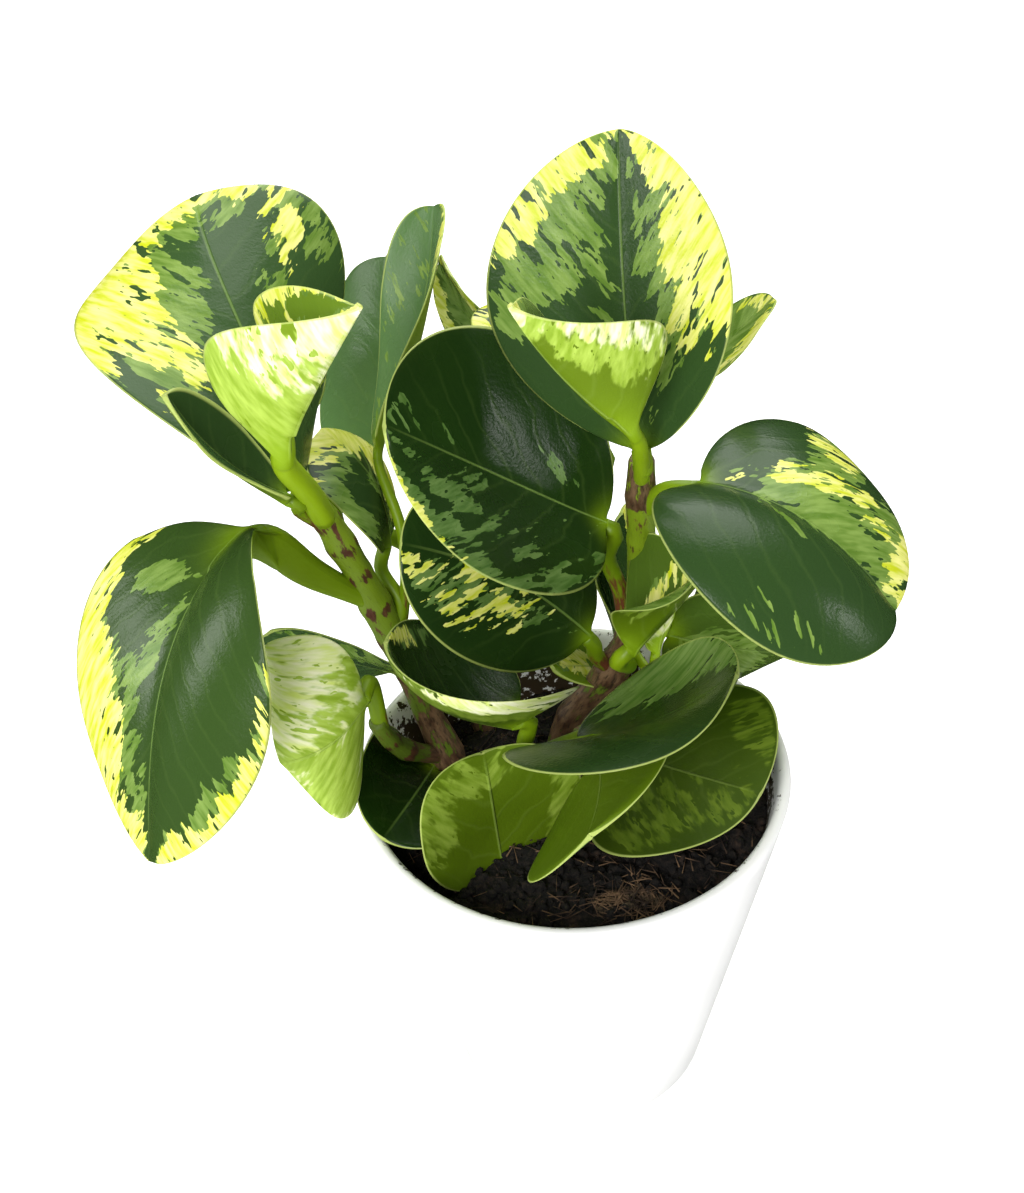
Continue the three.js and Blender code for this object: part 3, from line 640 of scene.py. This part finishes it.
def grow_leaf(name, start, base, aim, size, via=(), widest=0.54, taper=0.62, droop=0, early=0,
              sweep=0, twist=0, stalk=2.4, keel=0, fold=(10, 10), fold_tip=None, cup=(10, 10),
              cup_tip=None, lobe=(0.3, 0.3), light=(), pale=(), tone_and_sheen=0.3, young=0.0, reddish=0.2,
              rim=1.0, melt=0, lead=0.4, underside_up=False):
    """One leaf, in mm and degrees. Its stalk, of that radius, runs from start past via to base,
    and lead is how straight it enters the blade. The blade aims by heading, rise and roll and
    has a length and width. It droops, sweeps and twists along its midrib, and folds up and cups
    to the left and right of it. Its lobes reach back at the stalk, whose keel runs on under it,
    and melt is how often the bend there is evened out. Light and pale are areas for depth_in,
    young and reddish are shares of its other greens and of red, and tone_and_sheen is the share
    of a paler grey-green, whose high end is a painted sheen. Rim widens the pale line of its
    margin."""
    number = next(leaf_numbers)
    fold_tip, cup_tip = fold_tip or fold, cup_tip or cup
    length, width = size
    tube, grid = ring_grid(2 * FACES_ACROSS, STALK_ROWS + BLADE_ROWS, LAYERS)
    layers = {title: tube.verts.layers.float[title] for title in LAYERS}
    place_layer = tube.verts.layers.float_vector["place"]

    heading, rise, roll = (math.radians(a) for a in aim)
    way = Vector((math.cos(rise) * math.cos(heading), math.cos(rise) * math.sin(heading),
                  math.sin(rise)))
    right = Vector((math.sin(heading), -math.cos(heading), 0))
    turn = Matrix.Rotation(roll, 3, way)
    right, up = turn @ right, turn @ right.cross(way)
    base_at = Vector(base)
    points = [Vector(start), *(Vector(p) for p in via)]
    points += [base_at - way * (base_at - points[-1]).length * lead, base_at]
    line = evenly_along(points, STALK_ROWS)
    stalk_length = run_along(line)[-1]
    frames = stalk_frames(line, way, right, up) + midrib_frames(
        base_at, way, right, up, length, BLADE_ROWS, droop, early, sweep, twist)

    for vert, column, row in grid:
        at, way, right, up, t, on_stalk = frames[row]
        on_blade, upper = row >= STALK_ROWS, column <= FACES_ACROSS
        # u runs from -1 at the left margin to 1 at the right, there and back on the underside
        s = (column / FACES_ACROSS * 2 - 1) if upper else (3 - column / FACES_ACROSS * 2)
        u = math.copysign(1 - (1 - abs(s)) ** 1.4, s)
        side, sign = (0, -1) if u < 0 else (1, 1)
        # flat is 0 on the round stalk and 1 on the blade, and across is the way from the midrib
        spread = width / 2 * outline(t, widest, taper) if on_blade else 0.0
        flat = min(1, spread / (2.5 * stalk) + (1 if t > 0.5 else 0)) if on_blade else 0.0
        half = max(spread, stalk + (TIP_WIDTH - stalk) * t)
        across = half * (abs(u) * flat + math.sin(abs(u) * math.pi / 2) * (1 - flat))
        # each half is an arc that leaves the midrib at the angle of its fold
        tip = math.radians(fold[side] * (1 - t) + fold_tip[side] * t) * flat
        curl = math.radians(cup[side] * (1 - t) + cup_tip[side] * t) / (width / 2)
        curl = curl if abs(curl) > 1e-6 else 1e-6
        out = (math.sin(tip + curl * across) - math.sin(tip)) / curl
        lift = (math.cos(tip) - math.cos(tip + curl * across)) / curl
        back = (0.15 * t ** 3 - lobe[side] * (1 - t) ** 2) * across * flat
        middle = at + right * sign * out + up * lift + way * back
        bend = (tip + curl * across * flat) * min(1, across / 2.5)
        normal = up * math.cos(bend) - right * sign * math.sin(bend)
        middle += normal * MARGIN_WAVE * abs(u) ** 1.5 * flat * noise.noise(
            Vector((t * 3.1, u * 1.3, number * 5.0)))
        # the blade thins to a rounded margin, and the stalk is round
        blade_half = MARGIN_THICK + (RIB_THICK - MARGIN_THICK) * (1 - u * u)
        blade_half += (stalk - RIB_THICK) * (1 - t) ** 8 * (1 - abs(u)) ** 2
        blade_half *= math.sqrt(max(0, 1 - abs(u) ** 10))
        thick = blade_half * flat + stalk * math.cos(u * math.pi / 2) * (1 - flat)
        deep = keel * (on_stalk ** 1.5 if not on_blade else (1 - t) ** 20)
        surface = thick if upper else -(thick + deep * math.cos(u * math.pi / 2))
        vert.co = (middle + normal * surface) * MM

        pale_depth = depth_in(pale, t, u, length, width / 2)
        vert[layers["pale"]] = pale_depth
        vert[layers["light"]] = max(depth_in(light, t, u, length, width / 2), pale_depth - 0.5)
        vert[layers["edge"]] = max(0, spread - across) / rim + 5 * (1 - min(1, t * 12)) ** 2
        vert[layers["vein"]] = flat * (1 - abs(u) ** 3) * (1 - t ** 4)
        vert[layers["tone_and_sheen"]] = tone_and_sheen
        vert[layers["young"]] = young if on_blade else min(1, 0.3 + young * 2)
        vert[layers["base"]] = math.exp(-(t * length / (5 + melt / 2)) ** 2 - (across / 8) ** 2)
        vert[layers["reddish"]] = reddish * (1.4 - on_stalk)
        if on_blade:
            # side veins leave the midrib forward and curve toward the apex
            vein_run = t * length - 0.8 * across - 0.006 * across ** 2
            vert[place_layer] = Vector((vein_run, sign * across, number * 7.0))
        else:
            vert[place_layer] = Vector((
                (on_stalk - 1) * stalk_length, stalk * u * 1.6, number * 7.0))
    # give each square its side of the leaf before the tube is closed
    tube.verts.index_update()
    grid_places = {vert.index: (column, row) for vert, column, row in grid}
    for face in tube.faces:
        column, row = (max(pair) for pair in zip(*(grid_places[v.index] for v in face.verts)))
        if row <= STALK_ROWS:
            face.material_index = 2
        else:
            face.material_index = 0 if (column <= FACES_ACROSS) != underside_up else 1
    # the bend from stalk to blade is evened out
    for passes, last_row in ((melt, STALK_ROWS + 8), (melt // 2, STALK_ROWS + 14)):
        near_base = [vert for vert, column, row in grid if 2 <= row <= last_row]
        for _ in range(passes):
            bmesh.ops.smooth_vert(tube, verts=near_base, factor=0.5, use_axis_x=True,
                                  use_axis_y=True, use_axis_z=True)
    close_tube(tube)
    finish_piece(tube, name + "_blade", [upper_face, lower_face, leaf_stalk],
                 replaced=[name])


# on the left stem and its side shoot
grow_leaf("leaf_left_tall", (-66, 11, 212), (-70, 14.5, 216), (111, 74, 42), (92.5, 82),
          widest=0.66, droop=60, early=0.4, sweep=30, twist=-55,
          fold=(5, -15), fold_tip=(-15, -5), cup=(15, -40), cup_tip=(-35, -20), lobe=(0.1, 0.1),
          tone_and_sheen=0.65,
          pale=[(0.78, -1.0, 0.3, 0.4), (0.76, -0.66, 0.28, 0.28, 0, 3), (0.97, -0.6, 0.13, 0.35),
                (0.84, 0.57, 0.15, 0.12, 0.9, 0), (0.32, -0.78, 0.06, 0.1), (0.98, 0.1, 0.05, 0.9),
                (0.48, -0.55, 0.12, 0.16, 0, 1.5), (0.4, 1.0, 0.1, 0.2)],
          light=[(0.7, -0.42, 0.2, 0.26, -0.4, 4), (0.93, -0.15, 0.1, 0.2, 0, 2),
                 (0.95, 0.25, 0.08, 0.2, 0, 2), (0.5, -0.6, 0.14, 0.25, 0, 2.5),
                 (0.62, 0.35, 0.06, 0.1, 0, 1), (0.85, 0.8, 0.12, 0.2, 0, 1)])
grow_leaf("leaf_left_folded", (-64, 11, 208), (-69.5, -7.5, 242), (-51, 59, 0), (59.5, 55.5),
          via=[(-67, 0, 228)], widest=0.48, taper=1.1, sweep=-15, twist=25, stalk=3.4, melt=16,
          fold=(45, 45), fold_tip=(55, 40), cup=(45, 50), cup_tip=(50, 45),
          tone_and_sheen=0.6, young=0.4, reddish=0.0,
          pale=[(0.97, 0.5, 0.32, 1.0, 0, 5), (0.66, 0.3, 0.2, 0.8, 0, -0.5),
                (0.6, -0.98, 0.5, 0.12)],
          light=[(0.5, 0.5, 0.5, 0.8)])
grow_leaf("leaf_left_dark", (-62, 12.5, 202), (-71.5, 1.5, 221.5), (-166, 38, 2), (46, 23.5),
          via=[(-70, 7, 214)], widest=0.52, droop=-35, early=-0.1, sweep=5, twist=-15, stalk=1.8,
          fold=(30, 30), fold_tip=(20, 30), cup=(5, 10), cup_tip=(-10, 10),
          tone_and_sheen=0.45, reddish=0.6, rim=2.2)
grow_leaf("leaf_left_drooping", (-53.5, 15, 174), (-81.5, 2.5, 210.5), (-141, -9, 30), (94, 90),
          via=[(-64.5, 10, 188.5), (-71.5, 6, 198)], widest=0.46, droop=60, early=0.9, sweep=5,
          twist=-5, stalk=2.8, keel=12, melt=14, fold=(30, 30), fold_tip=(5, 10), cup=(-60, 0),
          cup_tip=(-90, -25), lobe=(0, 0),
          tone_and_sheen=0.36, young=0.04,
          pale=[(0.62, 0.95, 0.3, 0.46), (0.66, 0.62, 0.2, 0.25, 0, 3), (0.75, -1.0, 0.28, 0.12),
                (0.92, -0.8, 0.08, 0.3), (0.93, 0.6, 0.08, 0.5), (0.3, 0.92, 0.14, 0.12)],
          light=[(0.44, 0.2, 0.16, 0.08, 0.5, 3), (0.24, 0.42, 0.06, 0.2, 1.8, 3),
                 (0.66, 0.3, 0.18, 0.1, 0, 2), (0.85, 0.15, 0.1, 0.1, 0, 1),
                 (0.8, -0.8, 0.14, 0.12, 0, 2), (0.55, 0.5, 0.1, 0.1)])
grow_leaf("leaf_left_curled", (-50, 16, 161), (-50, 26, 185.5), (47, 70, 122), (40, 37.5),
          via=[(-46.5, 18, 170.5)], widest=0.56, droop=75, early=0.1, twist=-10, stalk=2,
          fold=(0, -5), fold_tip=(-20, -15), cup=(10, 15), cup_tip=(-10, 10),
          tone_and_sheen=0.3,
          pale=[(0.98, 0.0, 0.22, 1.4), (0.6, 0.7, 0.45, 0.4)],
          light=[(0.5, -0.9, 0.3, 0.25, 0, 2), (0.75, -0.5, 0.12, 0.4, 0, 1),
                 (0.45, 0.3, 0.3, 0.3, 0, 0)])
grow_leaf("leaf_left_low", (-54, -6.5, 147), (-57.5, -15, 164.5), (-104, 2, 94), (32, 64.5),
          widest=0.58, droop=-105, early=-0.8, sweep=5, twist=20,
          fold=(0, 10), fold_tip=(10, 20), cup=(35, 10), cup_tip=(65, 0), lobe=(0.5, 0.5),
          tone_and_sheen=0.62, reddish=0.35,
          pale=[(0.5, -0.9, 0.5, 0.3, 0, 2.5), (0.55, -0.45, 0.5, 0.4, 0, 0.3),
                (0.5, 0.5, 0.5, 0.4, 0, -3), (0.5, 1.0, 0.4, 0.08)],
          light=[(0.5, 0.0, 0.9, 1.8)])
grow_leaf("leaf_left_inner", (-42, 16, 130), (-51, 35, 131.5), (-158, 29, -142), (45, 43.5),
          widest=0.56, droop=15, twist=10, fold=(10, 5), fold_tip=(10, 0), cup_tip=(10, 0),
          tone_and_sheen=0.7, light=[(0.5, 0.6, 0.4, 0.3)])
grow_leaf("leaf_left_rim", (-36, 15, 108), (-42.5, 11, 110.5), (-100, 28, -27), (40.5, 47),
          droop=30, sweep=5, fold=(15, 15), cup=(20, 35), cup_tip=(20, 45), tone_and_sheen=0.0)
# behind the left stem
# the two large leaves here get a high tone_and_sheen, so their grey-green is a painted sheen
grow_leaf("leaf_back_broad", (-31, 49, 158), (-54, 64, 188), (74, 30, -39), (64.5, 59),
          widest=0.56, droop=-25, early=-0.1, sweep=5, twist=5, fold=(25, 35),
          fold_tip=(15, 35), cup=(-15, -5), cup_tip=(-40, -20), tone_and_sheen=1.7,
          light=[(0.35, 0.9, 0.2, 0.2)])
grow_leaf("leaf_back_narrow", (-48.5, 16, 155), (-50, 39.5, 209.5), (47, 43, -51), (70, 40.5),
          via=[(-43.5, 20.5, 185), (-45.5, 29, 200)], widest=0.58, droop=-25, sweep=-5,
          twist=20, stalk=1.7, melt=12,
          fold=(20, 20), fold_tip=(30, 10), cup=(-5, 10), cup_tip=(0, 0), reddish=0.5,
          tone_and_sheen=1.8, rim=1.5, pale=[(0.85, 0.9, 0.14, 0.12)],
          light=[(0.6, -0.35, 0.35, 0.1, -0.2, -1.5), (0.45, -0.62, 0.3, 0.1, -0.3, -1.5),
                 (0.7, -0.1, 0.25, 0.1, 0, -2)])
grow_leaf("leaf_back_small", (-35.5, 56, 191), (-16.5, 90, 212), (146, 33, -106), (29, 33),
          droop=30, twist=-5, stalk=1.8, fold=(5, 5), fold_tip=(5, 10), cup=(10, 15),
          cup_tip=(5, 20), tone_and_sheen=0.7, young=0.2,
          pale=[(0.75, -0.75, 0.3, 0.4), (0.6, 0.85, 0.35, 0.2)], light=[(0.5, 0.1, 0.4, 0.6)])
# in the middle
grow_leaf("leaf_centre_large", (18, 22, 149), (11.5, 22.5, 191), (-173, 37, -26), (76, 77),
          via=[(16, 22, 168), (12.5, 23, 180)], widest=0.56, droop=-10, sweep=-10, twist=5,
          fold=(15, 15), fold_tip=(10, 10), cup=(0, 20), cup_tip=(-5, 35),
          tone_and_sheen=0.06, reddish=0.6, rim=1.3,
          pale=[(0.9, -0.97, 0.12, 0.1)],
          light=[(0.86, -0.82, 0.1, 0.12), (0.86, 0.15, 0.1, 0.08, 0.6, 0), (0.7, -0.42, 0.1, 0.1),
                 (0.6, -0.18, 0.08, 0.06), (0.45, -0.55, 0.13, 0.08, -0.8, 0),
                 (0.27, -0.35, 0.13, 0.08, -0.9, 0), (0.6, -0.95, 0.12, 0.08), (0.3, -0.9, 0.1, 0.1),
                 (0.9, -0.25, 0.07, 0.06), (0.25, 0.3, 0.06, 0.05), (0.72, -0.72, 0.08, 0.07),
                 (0.95, 0.4, 0.05, 0.12), (0.55, -0.85, 0.5, 0.16, 0, -1)])
grow_leaf("leaf_centre_banded", (13.5, 24, 136), (5.5, 16, 156.5), (-168, 59, -47), (70, 51),
          via=[(8.5, 19, 146.5)], droop=20, sweep=-25, twist=5,
          fold=(-5, 5), fold_tip=(0, 5), cup=(-10, 0), lobe=(0.2, 0.3),
          tone_and_sheen=0.1, reddish=0.6, rim=1.2,
          pale=[(0.72, -0.16, 0.32, 0.17, -0.5, 0), (0.58, -0.5, 0.18, 0.15, -0.9, 0),
                (0.88, -0.5, 0.16, 0.16, -0.5, 0)],
          light=[(0.7, -0.4, 0.34, 0.2, -0.6, 2), (0.38, -0.3, 0.16, 0.1, -0.6, 0)])
grow_leaf("leaf_centre_trough", (-1, 1, 112), (-17, -8, 147), (-163, 16, 24), (49, 72),
          via=[(-7, -2, 119), (-14, -6, 134.5)], widest=0.46, droop=-70, early=-0.3, sweep=5,
          twist=-15, fold=(35, 20), fold_tip=(-10, 15), cup=(40, 20), cup_tip=(45, 15),
          lobe=(0.9, 0.8),
          tone_and_sheen=0.12,
          pale=[(0.9, 0.65, 0.12, 0.25), (0.42, -0.82, 0.4, 0.3, 0, 3)],
          light=[(0.5, -0.6, 0.6, 0.45), (0.8, 0.7, 0.12, 0.15)])
# deep inside
grow_leaf("leaf_inner_dark", (2.5, 27, 117), (18, 49, 121), (-139, 80, -40), (37, 33.5),
          droop=10, stalk=1.8, fold=(5, 5), cup=(5, 5), cup_tip=(5, 0), tone_and_sheen=0.1)
grow_leaf("leaf_inner_round", (16.5, 23, 144), (24, 45.5, 144), (131, 77, 37), (29.5, 36),
          widest=0.56, droop=5, sweep=5, twist=-5, stalk=1.8,
          fold=(0, 0), fold_tip=(-5, -5), cup=(5, 0), cup_tip=(0, -5), tone_and_sheen=0.3,
          pale=[(0.85, 0.6, 0.14, 0.5)], light=[(0.5, 0.5, 0.3, 0.5)])
grow_leaf("leaf_inner_small", (-1, 27, 107), (11.5, 40, 121), (-136, 44, -15), (24.5, 25.5),
          widest=0.56, droop=20, stalk=1.6, fold=(5, 10), cup=(15, 10), young=0.6,
          pale=[(0.6, 0.2, 0.3, 0.5)])
# on the right stem
grow_leaf("leaf_right_tall", (21, 11, 219), (20.5, 5.5, 228), (101, 63, -68), (80.5, 77),
          widest=0.46, droop=5, sweep=5, twist=15, stalk=2.6,
          fold=(10, 5), fold_tip=(20, 10), cup=(25, -5), cup_tip=(35, -15), lobe=(0, 0),
          tone_and_sheen=0.42,
          pale=[(0.96, -0.75, 0.14, 0.5, 0, 3), (0.8, -0.9, 0.18, 0.3, 0, 1.5),
                (0.68, 0.95, 0.33, 0.3, 0, 6), (0.66, 0.7, 0.3, 0.26, 0, 2.2),
                (0.92, 0.62, 0.12, 0.2, 0, 2.5), (0.5, 0.55, 0.12, 0.12, 0, 1)],
          light=[(0.7, -0.5, 0.2, 0.34, 0, 1.6), (0.92, -0.2, 0.1, 0.2, 0, 1),
                 (0.36, 0.45, 0.25, 0.16, 0.5, 3), (0.58, 0.42, 0.2, 0.1, 0, 3),
                 (0.78, 0.2, 0.18, 0.06), (0.5, -0.15, 0.12, 0.06),
                 (0.5, -0.75, 0.14, 0.18, 0, 2)])
grow_leaf("leaf_right_folded", (21, 12, 213), (17, -10, 244.5), (-160, 44, 51), (52, 53),
          via=[(20, -2, 230)], widest=0.48, taper=1.1, droop=-20, early=-0.1, sweep=-10,
          twist=-35, stalk=2.1, melt=16, lead=0.12, fold=(30, 30), fold_tip=(10, 30), cup=(40, 30),
          cup_tip=(40, 30), lobe=(0.2, 0.3),
          tone_and_sheen=0.4, young=0.22, reddish=0.0,
          pale=[(1.0, 0.0, 0.12, 1.6, 0, 3), (0.62, -0.85, 0.25, 0.25, 0, 1)],
          light=[(0.6, -0.7, 0.35, 0.45, 0, 1.2), (0.95, 0.0, 0.16, 1.5, 0, 3)])
grow_leaf("leaf_right_wide", (21.5, 15, 200), (35.5, 2.5, 216.5), (-27, 17, -9), (63, 92.5),
          widest=0.52, droop=70, early=0.4, sweep=-10,
          fold=(20, 30), fold_tip=(15, 20), cup=(-25, -60), cup_tip=(-50, -95), lobe=(0.4, 0.5),
          tone_and_sheen=0.42,
          pale=[(0.58, -0.42, 0.42, 0.12, -0.55, 0), (0.93, -0.6, 0.1, 0.45, 0, 3),
                (0.48, -0.85, 0.1, 0.14, 0, 1)],
          light=[(0.62, -0.22, 0.4, 0.26, -0.3, 7), (0.87, -0.5, 0.18, 0.5, 0, 5),
                 (0.44, 0.2, 0.06, 0.06), (0.6, 0.9, 0.1, 0.12, 0, -2.5),
                 (0.5, -0.72, 0.1, 0.3, 0, 2)])
grow_leaf("leaf_right_behind", (21.5, 17, 190), (41, 50.5, 221), (20, 39, -16), (29, 34),
          twist=-10, stalk=1.8, fold=(5, 5), fold_tip=(5, 10), cup=(10, 0), cup_tip=(10, -5),
          tone_and_sheen=0.8,
          pale=[(0.6, 0.8, 0.35, 0.3, 0, 1), (0.9, -0.4, 0.15, 0.4, 0, 2)],
          light=[(0.5, 0.2, 0.8, 1.5)])
grow_leaf("leaf_right_funnel", (16, 23, 143), (16.5, -4.5, 168), (7, 40, -51), (31.5, 45),
          via=[(16, 13, 148), (16.5, 1, 158)], widest=0.64, taper=0.8, droop=-15, early=0.1,
          sweep=10, twist=40, fold=(55, 60), fold_tip=(55, 35), cup=(-10, -30),
          cup_tip=(0, -45), lobe=(0.2, 0.2), tone_and_sheen=0.4, young=0.2,
          pale=[(0.5, -0.25, 0.4, 0.2)], light=[(0.7, 0.7, 0.3, 0.4)])
grow_leaf("leaf_right_low", (14.5, 23.5, 138), (31, 25, 149), (-20, -14, 92), (38, 54),
          droop=30, twist=15, fold=(0, -5), fold_tip=(0, -15), cup_tip=(10, 5), tone_and_sheen=0.45,
          young=0.15, light=[(0.45, 0.3, 0.35, 0.6)])
grow_leaf("leaf_right_tiny", (18, 22, 148), (25, 8.5, 155.5), (33, 77, -85), (20.5, 12.5),
          widest=0.56, droop=15, stalk=1.4, fold=(10, 10), fold_tip=(15, 15), cup=(15, 15),
          cup_tip=(20, 20), young=1.0, pale=[(0.7, 0.3, 0.3, 0.5)])
# at the front
grow_leaf("leaf_front_wide", (2.5, -5.5, 137), (4.5, -31, 159.5), (-14, 24, -43), (45, 77.5),
          widest=0.48, droop=-25, early=-0.1, twist=20,
          fold=(10, 10), fold_tip=(10, -5), cup=(25, -5), cup_tip=(30, -25), lobe=(1, 1.1),
          tone_and_sheen=0.2, rim=1.4,
          light=[(0.62, -0.78, 0.38, 0.4)])
grow_leaf("leaf_front_underside", (1, -2, 125), (8, -14, 137.5), (-92, 12, 57), (44.5, 60),
          widest=0.56, droop=-15, early=0.1, twist=-10,
          fold=(0, 5), fold_tip=(-5, 0), cup=(0, 0),
          tone_and_sheen=0.55, underside_up=True)
grow_leaf("leaf_front_standing", (-21, -14, 84), (-23, -21, 101.5), (116, 85, -167), (42.5, 54),
          widest=0.58, droop=-5, twist=-15,
          fold=(-5, -5), fold_tip=(-10, 0), cup=(-15, -20), cup_tip=(-25, -25),
          tone_and_sheen=0.2, young=0.14,
          light=[(0.7, 0.75, 0.28, 0.28, 0, 2), (0.85, 0.2, 0.12, 0.4, 0, 1.5),
                 (0.6, -0.85, 0.3, 0.15, 0, 2)])
grow_leaf("leaf_front_hanging", (-2, 2, 104), (16, 7, 116.5), (-42, 14, -166), (47, 70.5),
          widest=0.5, droop=-5, sweep=5,
          fold=(5, 5), fold_tip=(-5, -5), cup=(-5, 5), cup_tip=(-25, -5),
          tone_and_sheen=0.06, rim=1.6,
          light=[(0.75, 0.7, 0.18, 0.2, 0, 0), (0.45, -0.5, 0.25, 0.4, 0, 0.5),
                 (0.85, -0.3, 0.12, 0.4, 0, 0)])
# at the back of the plant, plainer and alike in colour
REAR = dict(tone_and_sheen=0.4, pale=[(0.65, 0.9, 0.3, 0.3), (0.8, -0.9, 0.2, 0.25)],
            light=[(0.5, -0.4, 0.25, 0.25), (0.75, 0.4, 0.15, 0.3)])
grow_leaf("leaf_rear_high_right", (21.3, 15.5, 198), (26, 56, 228), (84, 28, 0), (46, 44),
          droop=30, **REAR)
grow_leaf("leaf_rear_high_left", (-35.5, 56, 190), (7, 50, 211), (118, 40, 5), (44, 40),
          droop=35, **REAR)
grow_leaf("leaf_rear_middle", (-35, 55, 186), (-2, 66, 180), (92, 10, 0), (62, 60),
          droop=40, **REAR)
grow_leaf("leaf_rear_left", (-60.5, 13, 197), (-76, 50, 210), (126, 20, 0), (54, 52),
          droop=45, **REAR)
grow_leaf("leaf_rear_low_left", (-28.5, 45, 136), (-14, 66, 146), (108, 0, -5), (54, 52),
          droop=35, **REAR)
grow_leaf("leaf_rear_low_right", (38, 46, 130), (50, 58, 136), (48, 0, 5), (52, 54),
          droop=35, **REAR)
grow_leaf("leaf_rear_right", (41, 49, 134.5), (62, 46, 165), (30, -5, 0), (46, 46),
          droop=35, **REAR)

# ---- floor and light ------------------------------------------------------------------------
# A wide white floor that glows like a light table, and an even surround. A large soft lamp
# stands above and behind, one in front, and two small ones at the sides for the sheen.
floor_sheet = bmesh.new()
bmesh.ops.create_grid(floor_sheet, x_segments=1, y_segments=1, size=6)
floor_mesh = bpy.data.meshes.new("floor")
floor_sheet.to_mesh(floor_mesh)
floor_sheet.free()
paper, tree, shader = clear_material(
    "white_floor", 0.9, Specular_IOR_Level=0.0, Base_Color=(0.9, 0.9, 0.9, 1),
    Emission_Color=(1, 1, 1, 1), Emission_Strength=0.55)
floor_mesh.materials.append(paper)
floor = bpy.data.objects.new("floor", floor_mesh)
bpy.context.collection.objects.link(floor)
floor.visible_glossy = False

world = bpy.data.worlds.new("surround")
world.use_nodes = True
background = world.node_tree.nodes["Background"]
background.inputs["Color"].default_value = (1, 1, 1, 1)
background.inputs["Strength"].default_value = 0.4
bpy.context.scene.world = world
world.cycles_visibility.glossy = False
bpy.context.scene.view_settings.view_transform = "Standard"


def soft_lamp(name, place, toward, size, power):
    light = bpy.data.lights.new(name, "AREA")
    light.shape = "DISK"
    light.size, light.energy = size, power
    lamp = bpy.data.objects.new(name, light)
    aimed = (Vector(toward) - Vector(place)).normalized().to_track_quat("-Z", "Y")
    lamp.matrix_world = Matrix.Translation(place) @ aimed.to_matrix().to_4x4()
    bpy.context.collection.objects.link(lamp)


soft_lamp("top_lamp", (0.15, 0.75, 1.15), (0, 0, 0.2), 1.3, 16.5)
soft_lamp("front_lamp", (-0.5, -1.1, 0.9), (0, 0, 0.12), 0.9, 17)
soft_lamp("right_lamp", (1.15, -0.12, 0.5), (0, 0, 0.2), 0.25, 1.6)
soft_lamp("left_lamp", (-1.2, 0.15, 0.42), (0, 0, 0.2), 0.5, 3.5)
